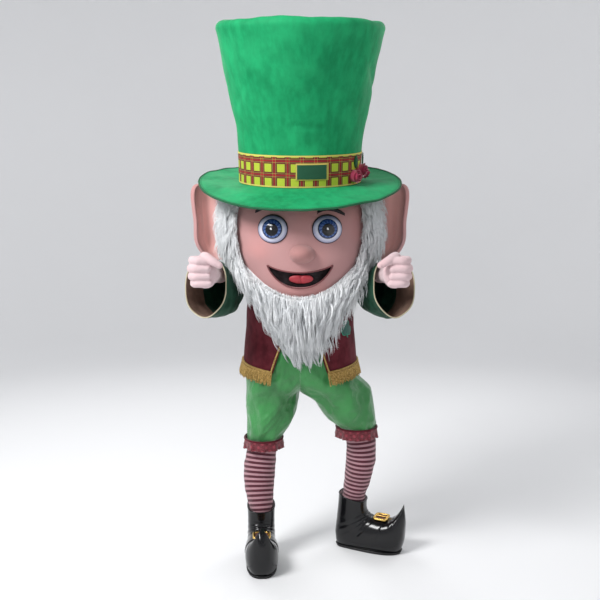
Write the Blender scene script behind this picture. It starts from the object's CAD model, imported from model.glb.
"""A leprechaun costume, worn and hollow, dressed over its packed solids.

Tables are in millimetres over the soles, as a maker measures; meshes are in metres in the part's own frame,
whose origin lies between the wearer's shoulders. The costume faces -Y and +X is the wearer's left.
"""
import math
from math import pi, radians

import bpy
import numpy as np
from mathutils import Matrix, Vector
from numpy import cos, sin


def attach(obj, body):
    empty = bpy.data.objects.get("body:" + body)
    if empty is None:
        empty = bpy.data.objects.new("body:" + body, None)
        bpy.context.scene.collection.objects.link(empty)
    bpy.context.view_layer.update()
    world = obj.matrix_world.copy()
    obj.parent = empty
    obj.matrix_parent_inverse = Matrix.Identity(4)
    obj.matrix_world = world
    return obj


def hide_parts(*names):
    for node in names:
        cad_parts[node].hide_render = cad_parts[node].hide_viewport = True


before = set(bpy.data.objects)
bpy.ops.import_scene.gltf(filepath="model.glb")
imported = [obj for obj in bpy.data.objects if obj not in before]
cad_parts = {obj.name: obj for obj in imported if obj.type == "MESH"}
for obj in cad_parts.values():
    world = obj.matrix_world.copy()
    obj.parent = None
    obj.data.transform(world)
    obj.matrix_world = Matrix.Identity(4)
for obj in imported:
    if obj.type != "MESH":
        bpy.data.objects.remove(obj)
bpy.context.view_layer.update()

bl_info = {
    "name": "Leprechaun costume",
    "version": (1, 0, 0),
    "blender": (4, 5, 0),
    "location": "View3D > Sidebar > Costume",
    "description": "Builds a worn, hollow leprechaun costume over its solids",
    "category": "Object",
}

MM = 0.001
SIDES = (("right", -1), ("left", 1))
SHARP = radians(50)
WHITE = (1, 1, 1)
LOBE_DEPTH = 0.16
HAIR_THICK = 0.0011


# Sizes and colours that a user would change
def length(name, description, default):
    return bpy.props.FloatProperty(name=name, description=description, default=default, min=0, unit="LENGTH")


def number(name, description, default):
    return bpy.props.IntProperty(name=name, description=description, default=default, min=1)


def colour(name, description, default):
    return bpy.props.FloatVectorProperty(
        name=name, description=description, default=default, size=3, min=0, max=1, subtype="COLOR")


class CostumeSizes(bpy.types.PropertyGroup):
    shoulder: length("Shoulder height", "Height of the wearer's shoulders over the soles", 1.36)
    tartan: length("Tartan repeat", "Width of one repeat of the hat band's check", 0.052)
    stripe: length("Stripe repeat", "One light and one dark stripe of the stockings", 0.0195)
    lock: length("Beard lock", "Length of the beard's longest hair", 0.105)
    hair: length("Side hair", "Length of the hair on the head's sides and back", 0.06)
    hair_count: number("Hairs for each piece of fur", "How many hairs a piece of fur gets", 5600)
    fringe: length("Fringe drop", "Length of the gold fringe on the vest", 0.04)
    fringe_pitch: length("Fringe pitch", "Distance from strand to strand of the fringe", 0.0042)
    stitch: length("Stitch", "Length of one stitch", 0.007)
    weave: length("Weave", "Distance from thread to thread of the woven cloths", 0.0016)


class CostumeColours(bpy.types.PropertyGroup):
    hat: colour("Hat", "Green velvet of the hat", (0.003, 0.31, 0.11))
    hat_edge: colour("Hat edge", "Dark binding of the brim", (0.003, 0.11, 0.04))
    top: colour("Top", "Dark green velvet of the top and sleeves", (0.003, 0.058, 0.028))
    satin: colour("Breeches", "Bright green satin", (0.03, 0.22, 0.05))
    vest: colour("Vest", "Burgundy velvet", (0.105, 0.0015, 0.01))
    skin: colour("Skin", "Pink fleece of the face", (0.46, 0.245, 0.24))
    ear: colour("Inside of the ear", "Deeper pink in the cup of the ear", (0.96, 0.52, 0.48))
    glove: colour("Gloves", "Pale pink fleece", (0.66, 0.5, 0.52))
    fur: colour("Fur", "White fur of hair and beard", (0.95, 0.98, 1.0))
    lining: colour("Sleeve lining", "Brown lining cloth", (0.22, 0.13, 0.09))
    gold: colour("Gold trim", "Gold thread of piping and fringe", (0.62, 0.36, 0.06))
    shamrock: colour("Shamrock", "Teal green felt", (0.006, 0.11, 0.08))
    lace: colour("Lace", "Burgundy lace of the knee cuffs", (0.19, 0.006, 0.02))
    stripe_light: colour("Light stripe", "Pale pink knit", (0.5, 0.27, 0.305))
    stripe_dark: colour("Dark stripe", "Burgundy knit", (0.075, 0.006, 0.018))
    tartan_lime: colour("Tartan lime", "Lime threads of the check", (0.5, 0.6, 0.04))
    tartan_wine: colour("Tartan wine", "Burgundy threads of the check", (0.12, 0.004, 0.012))
    tartan_red: colour("Tartan red", "Red lines of the check", (0.6, 0.02, 0.02))
    tartan_yellow: colour("Tartan yellow", "Yellow lines and edges", (0.75, 0.6, 0.12))
    rose: colour("Roses", "Magenta ribbon", (0.62, 0.03, 0.12))
    leaf: colour("Leaves", "Dark green ribbon", (0.006, 0.1, 0.03))
    blue: colour("Eye blue", "Blue of the irises", (0.01, 0.035, 0.17))


def sizes():
    return bpy.context.scene.costume_sizes


def colours():
    return bpy.context.scene.costume_colours


# Tables
def table(names, rows):
    """A short table of named columns."""
    return {name: np.array(values, float) for name, values in zip(names.split(), zip(*rows))}


def eased(t, start, end, leave, arrive):
    """A cubic from start to end that leaves and arrives with these slopes."""
    return ((2 * t**3 - 3 * t**2 + 1) * start + (t**3 - 2 * t**2 + t) * leave
            + (3 * t**2 - 2 * t**3) * end + (t**3 - t**2) * arrive)


def curve(rows, key, name):
    """A column of a table as a smooth function of another column."""
    x, y = rows[key], rows[name]
    slope = np.empty_like(y)
    slope[1:-1] = (y[2:] - y[:-2]) / (x[2:] - x[:-2])
    slope[0] = (y[1] - y[0]) / (x[1] - x[0])
    slope[-1] = (y[-1] - y[-2]) / (x[-1] - x[-2])

    def value(v):
        v = np.clip(np.asarray(v, float), x[0], x[-1])
        i = np.clip(np.searchsorted(x, v, side="right") - 1, 0, len(x) - 2)
        span = x[i + 1] - x[i]
        return eased((v - x[i]) / span, y[i], y[i + 1], span * slope[i], span * slope[i + 1])
    return value


def at_rows(rows, names, place):
    """Named columns of a table, smooth over its row numbers."""
    numbered = dict(rows, row=np.arange(len(next(iter(rows.values()))), dtype=float))
    return [curve(numbered, "row", name)(place) for name in names.split()]


def along_table(rows, names, steps):
    """Named columns of a table drawn out smoothly to that many rows."""
    last = len(next(iter(rows.values()))) - 1
    return at_rows(rows, names, np.linspace(0, last, steps))


def drawn_out(grid, steps):
    """Coarse rows of points as many smooth ones."""
    slope = np.gradient(grid, axis=0)
    row = np.linspace(0, len(grid) - 1, steps)
    i = np.minimum(row.astype(int), len(grid) - 2)
    t = (row - i).reshape(-1, *[1] * (grid.ndim - 1))
    return eased(t, grid[i], grid[i + 1], slope[i], slope[i + 1])


def down_rows(first, last, count):
    """Even steps from row to row of a grid."""
    return np.linspace(first, last, count)[:, None]


def along_rows(first, last, count):
    """Even steps along each row of a grid."""
    return np.linspace(first, last, count)[None, :]


def turns(columns, start=pi):
    """Even turns round a piece, from the middle of its back or from where they are told to start."""
    return start + np.arange(columns) / columns * 2 * pi


def ramp(values):
    """Values kept from none to one."""
    return np.clip(values, 0, 1)


def stack(*axes):
    return np.stack(np.broadcast_arrays(*axes), axis=-1).astype(float)


def unit(ways):
    """The same directions, one long."""
    return ways / np.linalg.norm(ways, axis=-1, keepdims=True)


def sided(points, side):
    return points * np.array([side, 1, 1])


def ripple(points, size, seed, waves=9):
    """Soft uneven waves about that many millimetres long, from about -1 to 1."""
    rng = np.random.default_rng(seed)
    total = np.zeros(points.shape[:-1])
    for _ in range(waves):
        way = rng.normal(size=3)
        way *= 2 * pi / size * rng.uniform(0.6, 1.5) / np.linalg.norm(way)
        total += sin(points @ way + rng.uniform(0, 2 * pi))
    return total / waves**0.5


def bump(x, middle, width):
    """One at the middle, falling off to none over the width."""
    return np.exp(-((x - middle) / width) ** 2)


# Walls and solids
def closed_round(grid):
    """A grid whose first column comes again at its end."""
    return np.concatenate([grid, grid[:, :1]], axis=1)


def outward(grid, loop=False):
    """The normals of a grid of points, away from the middle of each row."""
    across = np.roll(grid, -1, 1) - np.roll(grid, 1, 1) if loop else np.gradient(grid, axis=1)
    normal = np.cross(across, np.gradient(grid, axis=0))
    normal /= np.linalg.norm(normal, axis=2, keepdims=True) + 1e-9
    middle = grid.mean(axis=1, keepdims=True)
    return -normal if (normal * (grid - middle)).sum() < 0 else normal


def moved(grid, distance, loop=False):
    distance = np.asarray(distance, float)
    return grid + outward(grid, loop) * (distance[..., None] if distance.ndim else distance)


def measured(grid, loop):
    """How far each point of a grid lies along its row and down its columns, in metres, for the weave."""
    closed = closed_round(grid) if loop else grid
    down = np.linalg.norm(np.diff(closed, axis=0), axis=2).mean(axis=1)
    across = np.linalg.norm(np.diff(closed[len(closed) // 2], axis=0), axis=1)
    u = np.concatenate([[0], np.cumsum(across)]) * MM
    v = np.concatenate([[0], np.cumsum(down)]) * MM
    return stack(u[None, :], v[:, None])


def cells(rows, columns, loop=False, ring=False):
    """The point numbers at the corners of a grid's cells; a ring's last row meets its first."""
    i, j = np.mgrid[:rows if ring else rows - 1, :columns if loop else columns - 1]
    below, beside = (i + 1) % rows * columns, (j + 1) % columns
    i = i * columns
    return np.stack([i + j, i + beside, below + beside, below + j], axis=-1).reshape(-1, 4).tolist()


def cell_corners(uv):
    """The UVs at the corners of a grid's cells."""
    return np.stack([uv[:-1, :-1], uv[:-1, 1:], uv[1:, 1:], uv[1:, :-1]], axis=2).reshape(-1, 4, 2).tolist()


def placed(points):
    """Millimetres over the soles as metres in the part's frame."""
    points = np.asarray(points, float) * MM
    return points - np.array([0, 0, sizes().shoulder])


def linked(name, data):
    """A new object in the scene."""
    thing = bpy.data.objects.new(name, data)
    bpy.context.scene.collection.objects.link(thing)
    return thing


def new_object(name, points, faces, corners, materials, kinds=None):
    """A smooth mesh whose faces point outwards; corners are the UVs of each face's corners in turn."""
    points = placed(points)
    flat = np.array([f if len(f) == 4 else (*f, f[2]) for f in faces])
    a, b, c, d = (points[flat[:, i]] for i in range(4))
    volume = (a * np.cross(b, c)).sum() + (a * np.cross(c, d)).sum()
    if volume < 0:
        faces, corners = ([turned[::-1] for turned in each] for each in (faces, corners))
    mesh = bpy.data.meshes.new(name)
    mesh.from_pydata(points.tolist(), [], faces)
    layer = mesh.uv_layers.new(name="UVMap")
    layer.data.foreach_set("uv", np.array([x for face in corners for pair in face for x in pair], np.float32))
    for key in materials.split():
        mesh.materials.append(finish(key))
    if kinds is not None:
        mesh.polygons.foreach_set("material_index", np.array(kinds, np.int32))
    mesh.polygons.foreach_set("use_smooth", [True] * len(mesh.polygons))
    mesh.set_sharp_from_angle(angle=SHARP)
    mesh.update()
    return linked(name, mesh)


def wall(name, outer, inner, materials, loop=False, tips=None, uv=None):
    """A closed wall between two grids of points; the second material is for its inner face."""
    rows, columns = outer.shape[:2]
    width = columns if loop else columns - 1
    size = rows * columns
    uv = measured(outer, loop) if uv is None else uv
    points = np.concatenate([outer.reshape(-1, 3), inner.reshape(-1, 3)])
    faces, corners, kinds = [], [], []

    def add(face, spots, kind=0):
        faces.append(face)
        corners.append([uv[i, j].tolist() for i, j in spots])
        kinds.append(kind)

    inside = len(materials.split()) - 1
    for number, quad in enumerate(cells(rows, columns, loop)):
        i, j = divmod(number, width)
        spots = [(i, j), (i, j + 1), (i + 1, j + 1), (i + 1, j)]
        add(quad, spots)
        add([size + p for p in quad[::-1]], spots[::-1], inside)
    last = size - columns
    for j in range(width):
        k = (j + 1) % columns
        add([k, j, size + j, size + k], [(0, j + 1), (0, j), (0, j), (0, j + 1)])
        foot = [(rows - 1, j), (rows - 1, j + 1)]
        if tips is None:
            add([last + j, last + k, size + last + k, size + last + j], foot + foot[::-1])
        else:
            add([last + j, last + k, 2 * size], foot + foot[:1])
            add([size + last + k, size + last + j, 2 * size + 1], foot[::-1] + foot[:1])
    if tips is not None:
        points = np.concatenate([points, np.array(tips, float)])
    if not loop:
        end = columns - 1
        for i in range(rows - 1):
            a, b = i * columns, (i + 1) * columns
            add([a, b, size + b, size + a], [(i, 0), (i + 1, 0), (i + 1, 0), (i, 0)])
            add([b + end, a + end, size + a + end, size + b + end],
                [(i + 1, end), (i, end), (i, end), (i + 1, end)])
    return new_object(name, points, faces, corners, materials, kinds)


def filled(name, rings, materials):
    """A solid that fills a stack of rings, closed by a point at each end."""
    rows, columns = rings.shape[:2]
    points = np.concatenate([rings.reshape(-1, 3), rings[[0, -1]].mean(axis=1)])
    uv = measured(rings, True)
    faces, corners = cells(rows, columns, True), cell_corners(uv)
    last = (rows - 1) * columns
    for j in range(columns):
        k = (j + 1) % columns
        faces += [[k, j, rows * columns], [last + j, last + k, rows * columns + 1]]
        corners += [[uv[0, j + 1], uv[0, j], uv[0, j]], [uv[-1, j], uv[-1, j + 1], uv[-1, j]]]
    return new_object(name, points, faces, corners, materials)


def rings_round(line, side, up, wide, high):
    """Rings round a line of points, by their two directions and the reach along each."""
    return line[:, None] + side[:, None] * wide[..., None] + up[:, None] * high[..., None]


def rings_along(centres, wide, high, columns, across=(1, 0, 0)):
    """Oval rings square to a line of centres."""
    along = unit(np.gradient(centres, axis=0))
    across = np.array(across, float)
    side = unit(across - along * (along @ across)[:, None])
    turn = turns(columns, 0)
    return rings_round(centres, side, np.cross(along, side), np.outer(wide, cos(turn)),
                       np.outer(high, sin(turn)))


def cord(name, line, radius, materials, columns=8, lobes=0, twist=0):
    """A round cord along a line of points, or a twisted one with lobes."""
    line = np.asarray(line, float)
    along = unit(np.gradient(line, axis=0))
    guide = np.array([0.12, 0.31, 1.0]) if abs(along[:, 2]).mean() < 0.8 else np.array([0, 1.0, 0.1])
    side = unit(np.cross(along, guide))
    turn = turns(columns, 0)
    run = np.concatenate([[0], np.cumsum(np.linalg.norm(np.diff(line, axis=0), axis=1))])
    spin = turn + run[:, None] * twist
    swell = radius * (1 + (LOBE_DEPTH * cos(lobes * turn) if lobes else 0 * turn))
    rings = rings_round(line, side, np.cross(side, along), swell * cos(spin), swell * sin(spin))
    return filled(name, rings, materials)


def hoop(name, line, radius, materials, columns=10):
    """A cord that closes on itself along a ring of points."""
    along = unit(np.roll(line, -1, 0) - np.roll(line, 1, 0))
    away = line - line.mean(axis=0)
    away = unit(away - along * (away * along).sum(axis=1, keepdims=True))
    turn, count = turns(columns, 0), len(line)
    radius = np.broadcast_to(radius, count)
    rings = rings_round(line, away, np.cross(along, away), np.outer(radius, cos(turn)),
                        np.outer(radius, sin(turn)))
    uv = stack(down_rows(0, 1, count + 1), along_rows(0, 1, columns + 1))
    faces = cells(count, columns, True, True)
    return new_object(name, rings.reshape(-1, 3), faces, cell_corners(uv), materials)


def pad(name, surface, outline, materials, columns=48, rows=10, thick=2.0, rise=0.0, power=0.5):
    """A pad laid on a surface; its UV runs over the outline from 0 to 1 both ways."""
    turn = turns(columns, 0)
    reach = cos(np.linspace(0, pi / 2, rows + 1))[:-1]
    s, t = outline(turn[None, :], reach[:, None])
    domed = LAID_ON + thick + rise * (1 - reach**2) ** power
    outer = surface(s, t, domed[:, None])
    inner = surface(s, t, LAID_ON)
    middle = [np.array(float(np.ravel(x)[0])) for x in outline(np.zeros((1, 1)), np.zeros((1, 1)))]
    tips = [surface(*middle, LAID_ON + thick + rise), surface(*middle, LAID_ON)]
    again = np.append(turn, 2 * pi)
    uv = stack(0.5 + 0.5 * reach[:, None] * cos(again), 0.5 + 0.5 * reach[:, None] * sin(again))
    return wall(name, outer, inner, materials, loop=True, tips=tips, uv=uv)


def oval(s, t, half_s, half_t):
    return lambda turn, r: (s + r * half_s * cos(turn), t + r * half_t * sin(turn))


def settled(thing):
    """The object with what its modifiers do made part of its own mesh."""
    bpy.context.view_layer.update()
    graph = bpy.context.evaluated_depsgraph_get()
    mesh = bpy.data.meshes.new_from_object(
        thing.evaluated_get(graph), preserve_all_data_layers=True, depsgraph=graph)
    thing.modifiers.clear()
    thing.data = mesh
    return thing


def carved(thing, cutter):
    """Takes one solid out of another."""
    cut = thing.modifiers.new("Cut", "BOOLEAN")
    cut.object = cutter
    cut.operation = "DIFFERENCE"
    cut.solver = "EXACT"
    settled(thing)
    bpy.data.objects.remove(cutter)


def trim(thing):
    """A sewn-on detail that stands for no solid of its own."""
    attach(thing, "root")


def worn(thing, cut=None, loop=False):
    """A piece in place of the solid of its name; says how full it is padded, or how its cloth is cut."""
    trim(thing)
    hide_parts(thing.name.split(".")[0])
    if cut is not None:
        flat, area = cut_size(cut, loop)


def cut_size(grid, loop):
    """The widest and the longest run of a grid of cloth, in metres, and its area laid flat."""
    closed = closed_round(grid) if loop else grid
    across = np.linalg.norm(np.diff(closed, axis=1), axis=2)
    down = np.linalg.norm(np.diff(grid, axis=0), axis=2)
    a = closed[:-1, 1:] - closed[:-1, :-1]
    b = closed[1:, :-1] - closed[:-1, :-1]
    c = closed[1:, 1:] - closed[1:, :-1]
    d = closed[1:, 1:] - closed[:-1, 1:]
    area = (np.linalg.norm(np.cross(a, b), axis=2) + np.linalg.norm(np.cross(c, d), axis=2)).sum() / 2
    wide, long = across.sum(axis=1).max(), down.sum(axis=0).max()
    return (wide * MM, long * MM), min(area, wide * long) * MM * MM


# Shader and geometry nodes written as expressions
def sum_method(operation, swapped=False):
    """A method that adds one sum node, of the wire and one more value."""
    def method(self, other=0.0):
        return self.summed(operation, *((other, self) if swapped else (self, other)))
    return method


class Wire:
    """A number's socket that takes part in sums."""

    def __init__(self, nodes, socket):
        self.nodes = nodes
        self.socket = socket

    def summed(self, operation, a, b):
        return self.nodes.add("ShaderNodeMath", {"operation": operation}, {0: a, 1: b})

    __add__ = __radd__ = sum_method("ADD")
    __sub__ = sum_method("SUBTRACT")
    __rsub__ = sum_method("SUBTRACT", True)
    __mul__ = __rmul__ = sum_method("MULTIPLY")
    __truediv__ = sum_method("DIVIDE")
    __pow__ = sum_method("POWER")
    most = sum_method("MAXIMUM")
    fraction = sum_method("FRACT")
    size = sum_method("ABSOLUTE")
    sine = sum_method("SINE")

    def between(self, low, high):
        """None below low, one above high, smooth between."""
        return self.nodes.add("ShaderNodeMapRange", {"interpolation_type": "SMOOTHSTEP"},
                              {"Value": self, "From Min": low, "From Max": high})

    def beside(self, name):
        """Another output of the same node."""
        return self.nodes.wire(self.socket.node.outputs[name])


class Arrow(Wire):
    """A vector's or a colour's socket that takes part in sums and is scaled by numbers."""

    def summed(self, operation, a, b):
        if operation == "MULTIPLY":
            return self.nodes.add("ShaderNodeVectorMath", {"operation": "SCALE"}, {0: a, "Scale": b})
        return self.nodes.add("ShaderNodeVectorMath", {"operation": operation}, {0: a, 1: b})

    snapped = sum_method("SNAP")


class Nodes:
    """A node tree that nodes are added to in one line each."""

    def __init__(self, tree):
        self.tree = tree

    def wire(self, socket):
        return (Arrow if socket.type in ("VECTOR", "RGBA") else Wire)(self, socket)

    def add(self, kind, settings=None, inputs=None, out=0):
        node = self.tree.nodes.new(kind)
        for name, value in (settings or {}).items():
            setattr(node, name, value)
        for name, value in (inputs or {}).items():
            if isinstance(value, Wire):
                self.tree.links.new(value.socket, node.inputs[name])
            else:
                node.inputs[name].default_value = value
        return self.wire(node.outputs[out])

    def geo(self, kind, settings=None, **inputs):
        """A geometry node; the spaces in its inputs' names are underscores here."""
        spaced = {name.replace("_", " "): value for name, value in inputs.items()}
        return self.add("GeometryNode" + kind, settings, spaced)

    def grain(self, where, scale, detail=0.0, out=0):
        return self.add("ShaderNodeTexNoise", {}, {"Vector": where, "Scale": scale, "Detail": detail}, out)

    def mix(self, factor, a, b):
        def paint(x):
            return x if isinstance(x, Wire) else (*x, 1.0)
        return self.add("ShaderNodeMix", {"data_type": "RGBA"}, {0: factor, 6: paint(a), 7: paint(b)}, out=2)

    def parts(self, vector):
        """The three numbers of a vector."""
        node = self.add("ShaderNodeSeparateXYZ", {}, {0: vector}).socket.node
        return [self.wire(node.outputs[i]) for i in range(3)]


class Finish(Nodes):
    """A material: its own coordinates, noise and shader."""

    def __init__(self, name, rough=0.8, **constants):
        self.material = bpy.data.materials.new(name)
        self.material.use_nodes = True
        super().__init__(self.material.node_tree)
        self.shader = self.tree.nodes["Principled BSDF"]
        self.set(Roughness=rough, **constants)
        self.heights = []

    def set(self, **values):
        for name, value in values.items():
            socket = self.shader.inputs[name.replace("_", " ")]
            if isinstance(value, Wire):
                self.tree.links.new(value.socket, socket)
            elif hasattr(value, "__len__") and len(value) == 3 and socket.type == "RGBA":
                socket.default_value = (*value, 1.0)
            else:
                socket.default_value = value

    def here(self):
        return self.add("ShaderNodeTexCoord", {}, {}, out=3)

    def cloth(self):
        """How far along and down the cloth, in metres, or over a pad from 0 to 1."""
        return self.parts(self.add("ShaderNodeTexCoord", {}, {}, out=2))[:2]

    def noise(self, scale, detail=2.0, rough=0.5, stretch=None, where=None):
        where = self.here() if where is None else where
        if stretch is not None:
            where = self.add("ShaderNodeMapping", {}, {"Vector": where, "Scale": stretch})
        return self.add("ShaderNodeTexNoise", {},
                        {"Vector": where, "Scale": scale, "Detail": detail, "Roughness": rough})

    def raised(self, height, distance, strength=1.0):
        """Adds relief of that many metres."""
        self.heights.append((height, distance, strength))

    def weave(self, pitch, depth=0.0003, strength=0.5):
        u, v = self.cloth()
        turn = 2 * pi / pitch
        self.raised((u * turn).sine() * (v * turn).sine(), depth, strength)

    def napped(self, paint, dark):
        """Fleece pile: darker between its fibres."""
        pile = self.noise(520.0, 3.0, 0.6)
        self.raised(pile, 0.0007, 0.45)
        return self.mix(pile.between(0.45, 0.8) * 0.2, paint, dark)

    def done(self, paint):
        self.set(Base_Color=paint)
        normal = None
        for height, distance, strength in self.heights:
            inputs = {"Height": height, "Distance": distance, "Strength": strength}
            if normal is not None:
                inputs["Normal"] = normal
            normal = self.add("ShaderNodeBump", {}, inputs)
        if normal is not None:
            self.set(Normal=normal)
        return self.material


def mixed(a, b, share):
    return tuple(x + (y - x) * share for x, y in zip(a, b))


def paler(tone, share):
    return mixed(tone, WHITE, share)


def deeper(tone, share):
    return tuple(x * share for x in tone)


def velvet(name, tone, crush=0.35, size=9.0, sheen=0.12):
    """Short pile that is pressed lighter and darker in patches."""
    cloth = Finish(name, rough=0.7, Sheen_Weight=sheen, Sheen_Roughness=0.4, Specular_IOR_Level=0.18,
                   Sheen_Tint=(*paler(tone, 0.25), 1.0))
    patches = cloth.noise(size, 5.0, 0.62).between(0.34, 0.68)
    nap = cloth.noise(620.0, 2.0)
    strokes = cloth.noise(38.0, 3.0, 0.6, stretch=(1.0, 1.0, 0.3)).between(0.3, 0.75)
    paint = cloth.mix(patches, deeper(tone, 1 - crush), paler(tone, 0.03 * crush))
    paint = cloth.mix(strokes * 0.4, paint, paler(deeper(tone, 1.4), 0.01))
    cloth.raised(cloth.noise(24.0, 4.0, 0.55), 0.004, 0.35)
    cloth.raised(nap, 0.0006, 0.4)
    return cloth.done(paint)


def satin_cloth(name, tone):
    """Smooth woven satin with a soft shine along its folds."""
    cloth = Finish(name, rough=0.42, Sheen_Weight=0.15)
    patches = cloth.noise(7.0, 3.0, 0.5).between(0.3, 0.7)
    paint = cloth.mix(patches, deeper(tone, 0.78), deeper(tone, 1.12))
    crease = cloth.noise(20.0, 4.0, 0.6, stretch=(1.0, 1.0, 0.4))
    cloth.set(Roughness=cloth.noise(46.0, 2.0).between(0.2, 0.9) * 0.16 + 0.3)
    cloth.raised(crease, 0.014, 0.5)
    cloth.weave(sizes().weave, 0.0002, 0.35)
    return cloth.done(paint)


def plain_cloth(name, tone, rough=0.85, weave=None, mottle=0.15, nap=0.0004, **constants):
    cloth = Finish(name, rough=rough, **constants)
    patches = cloth.noise(16.0, 4.0, 0.6).between(0.3, 0.7)
    fine = cloth.noise(420.0, 2.0)
    paint = cloth.mix(patches, deeper(tone, 1 - mottle), paler(tone, 0.06 * mottle))
    paint = cloth.mix(fine.between(0.4, 0.75) * 0.25, paint, deeper(tone, 0.7))
    cloth.raised(fine, nap, 0.5)
    if weave:
        cloth.weave(weave, 0.0004, 0.5)
    return cloth.done(paint)


def skin_fleece(name, tone):
    """Short napped fleece, slightly flushed in patches."""
    cloth = Finish(name, rough=0.82, Sheen_Weight=0.25, Sheen_Roughness=0.5)
    flush = cloth.noise(5.0, 2.0, 0.5).between(0.35, 0.7)
    paint = cloth.mix(flush, tone, mixed(tone, (0.72, 0.2, 0.17), 0.22))
    return cloth.done(cloth.napped(paint, deeper(tone, 0.72)))


def fur_hair(name, tone):
    """White hair, greyer in some locks than in others."""
    hair = Finish(name, rough=0.6, Sheen_Weight=0.2)
    locks = hair.noise(34.0, 3.0, 0.6, stretch=(1.0, 1.0, 0.25)).between(0.3, 0.72)
    single = hair.noise(300.0, 1.0, 0.5, stretch=(1.0, 1.0, 0.08)).between(0.3, 0.7)
    paint = hair.mix(locks, deeper(tone, 0.84), paler(tone, 0.5))
    paint = hair.mix(single * 0.35, paint, paler(tone, 0.6))
    hair.raised(single, 0.001, 0.5)
    return hair.done(paint)


def tartan_cloth(name):
    """Woven check: lime and wine blocks with red and yellow lines, edged in yellow."""
    tones, size = colours(), sizes()
    cloth = Finish(name, rough=0.85)
    u, v = cloth.cloth()

    def threads(run, shift):
        place = (run / size.tartan + shift).fraction()
        return ((place - 0.28).size().between(0.28, 0.295), (place - 0.78).size().between(0.03, 0.042),
                ((place - 0.78).size() - 0.11).size().between(0.014, 0.022))

    along, down = threads(u, 0.1), threads(v, 0.92)
    paint = cloth.mix(along[0].most(down[0]), tones.tartan_lime, tones.tartan_wine)
    for part in (along, down):
        paint = cloth.mix((1 - part[1]) * 0.6, paint, tones.tartan_red)
        paint = cloth.mix((1 - part[2]) * 0.4, paint, tones.tartan_yellow)
    twill = ((u + v) * (2 * pi / 0.0032)).sine()
    paint = cloth.mix(twill.between(-0.6, 0.9) * 0.22, paint, deeper(tones.tartan_wine, 0.6))
    edge = (v / BAND_RUN - 0.5).size().between(0.452, 0.462)
    paint = cloth.mix(edge, paint, tones.tartan_yellow)
    cloth.raised(twill, 0.0004, 0.5)
    return cloth.done(paint)


def stocking_knit(name):
    """Knit in even stripes that run round the leg."""
    tones, size = colours(), sizes()
    knit = Finish(name, rough=0.88, Sheen_Weight=0.2)
    u, v = knit.cloth()
    stripe = (v / size.stripe).fraction()
    dark = (stripe - 0.5).size().between(0.255, 0.285)
    paint = knit.mix(dark, tones.stripe_dark, tones.stripe_light)
    wales = (u * (2 * pi / 0.0028)).sine()
    paint = knit.mix(wales.between(-0.9, 0.2) * 0.25, paint, deeper(tones.stripe_dark, 0.8))
    knit.raised(wales * (v * (2 * pi / 0.0034)).sine(), 0.0006, 0.6)
    knit.raised(knit.noise(60.0, 3.0), 0.002, 0.25)
    return knit.done(paint)


def gold_thread(name):
    """Metallic thread with dark gaps between its turns."""
    tone = colours().gold
    gold = Finish(name, rough=0.42, Metallic=0.55)
    glint = gold.noise(240.0, 3.0, 0.6)
    paint = gold.mix(glint.between(0.3, 0.72), deeper(tone, 0.35), mixed(tone, (1, 0.85, 0.5), 0.25))
    gold.set(Roughness=glint * 0.3 + 0.28)
    gold.raised(glint, 0.0008, 0.6)
    return gold.done(paint)


def polished_gold(name):
    gold = Finish(name, rough=0.22, Metallic=1.0)
    wear = gold.noise(28.0, 5.0, 0.6)
    gold.set(Roughness=wear.between(0.35, 0.75) * 0.18 + 0.16)
    gold.raised(gold.noise(90.0, 3.0), 0.0006, 0.2)
    return gold.done(gold.mix(wear.between(0.4, 0.8), (0.85, 0.56, 0.16), (0.6, 0.36, 0.08)))


def black_vinyl(name, rough=0.2):
    """Shiny vinyl with faint wrinkles and a few scuffs."""
    vinyl = Finish(name, rough=rough, Coat_Roughness=0.08, Specular_IOR_Level=0.3)
    scuff = vinyl.noise(55.0, 6.0, 0.7).between(0.62, 0.8)
    vinyl.set(Roughness=scuff * 0.3 + rough, Coat_Weight=0.22 - scuff * 0.15)
    vinyl.raised(vinyl.noise(42.0, 3.0, 0.5), 0.0022, 0.35)
    vinyl.raised(vinyl.noise(900.0, 1.0), 0.0002, 0.2)
    return vinyl.done(vinyl.mix(scuff, (0.004, 0.004, 0.005), (0.02, 0.02, 0.022)))


def lace_cloth(name):
    """Lace: threads round small open holes, scalloped darker towards its edge."""
    tone = colours().lace
    lace = Finish(name, rough=0.7, Sheen_Weight=0.3)
    u, v = lace.cloth()
    pitch = 2 * pi / 0.011
    net = ((u + v) * pitch).sine() * ((u - v) * pitch).sine()
    flower = ((u * (pitch / 3)).sine() * (v * (pitch / 3)).sine()).between(0.25, 0.6)
    holes = net.between(0.28, 0.42) * (1 - flower)
    lace.raised(net, 0.0012, 0.7)
    lace.set(Alpha=1 - holes * 0.4)
    return lace.done(lace.mix(flower, deeper(tone, 0.75), mixed(tone, (0.6, 0.12, 0.16), 0.16)))


def mesh_window(name):
    """Dark see-through mesh in a yellow stitched frame."""
    tones = colours()
    mesh = Finish(name, rough=0.7)
    u, v = mesh.cloth()
    pitch = 2 * pi / 0.0042
    net = ((u * pitch).sine().size()).most((v * pitch).sine().size())
    width, height = WINDOW_WIDTH * MM, WINDOW_HEIGHT * MM
    frame_line = ((u / width - 0.5).size() - 0.5 + 0.035).most((v / height - 0.5).size() - 0.5 + 0.07)
    inside = frame_line.between(-0.012, 0.0)
    paint = mesh.mix(net.between(0.55, 0.85), (0.002, 0.03, 0.012), (0.008, 0.1, 0.045))
    mesh.raised(net, 0.0008, 0.7)
    return mesh.done(mesh.mix(inside, paint, deeper(tones.tartan_yellow, 0.7)))


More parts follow.
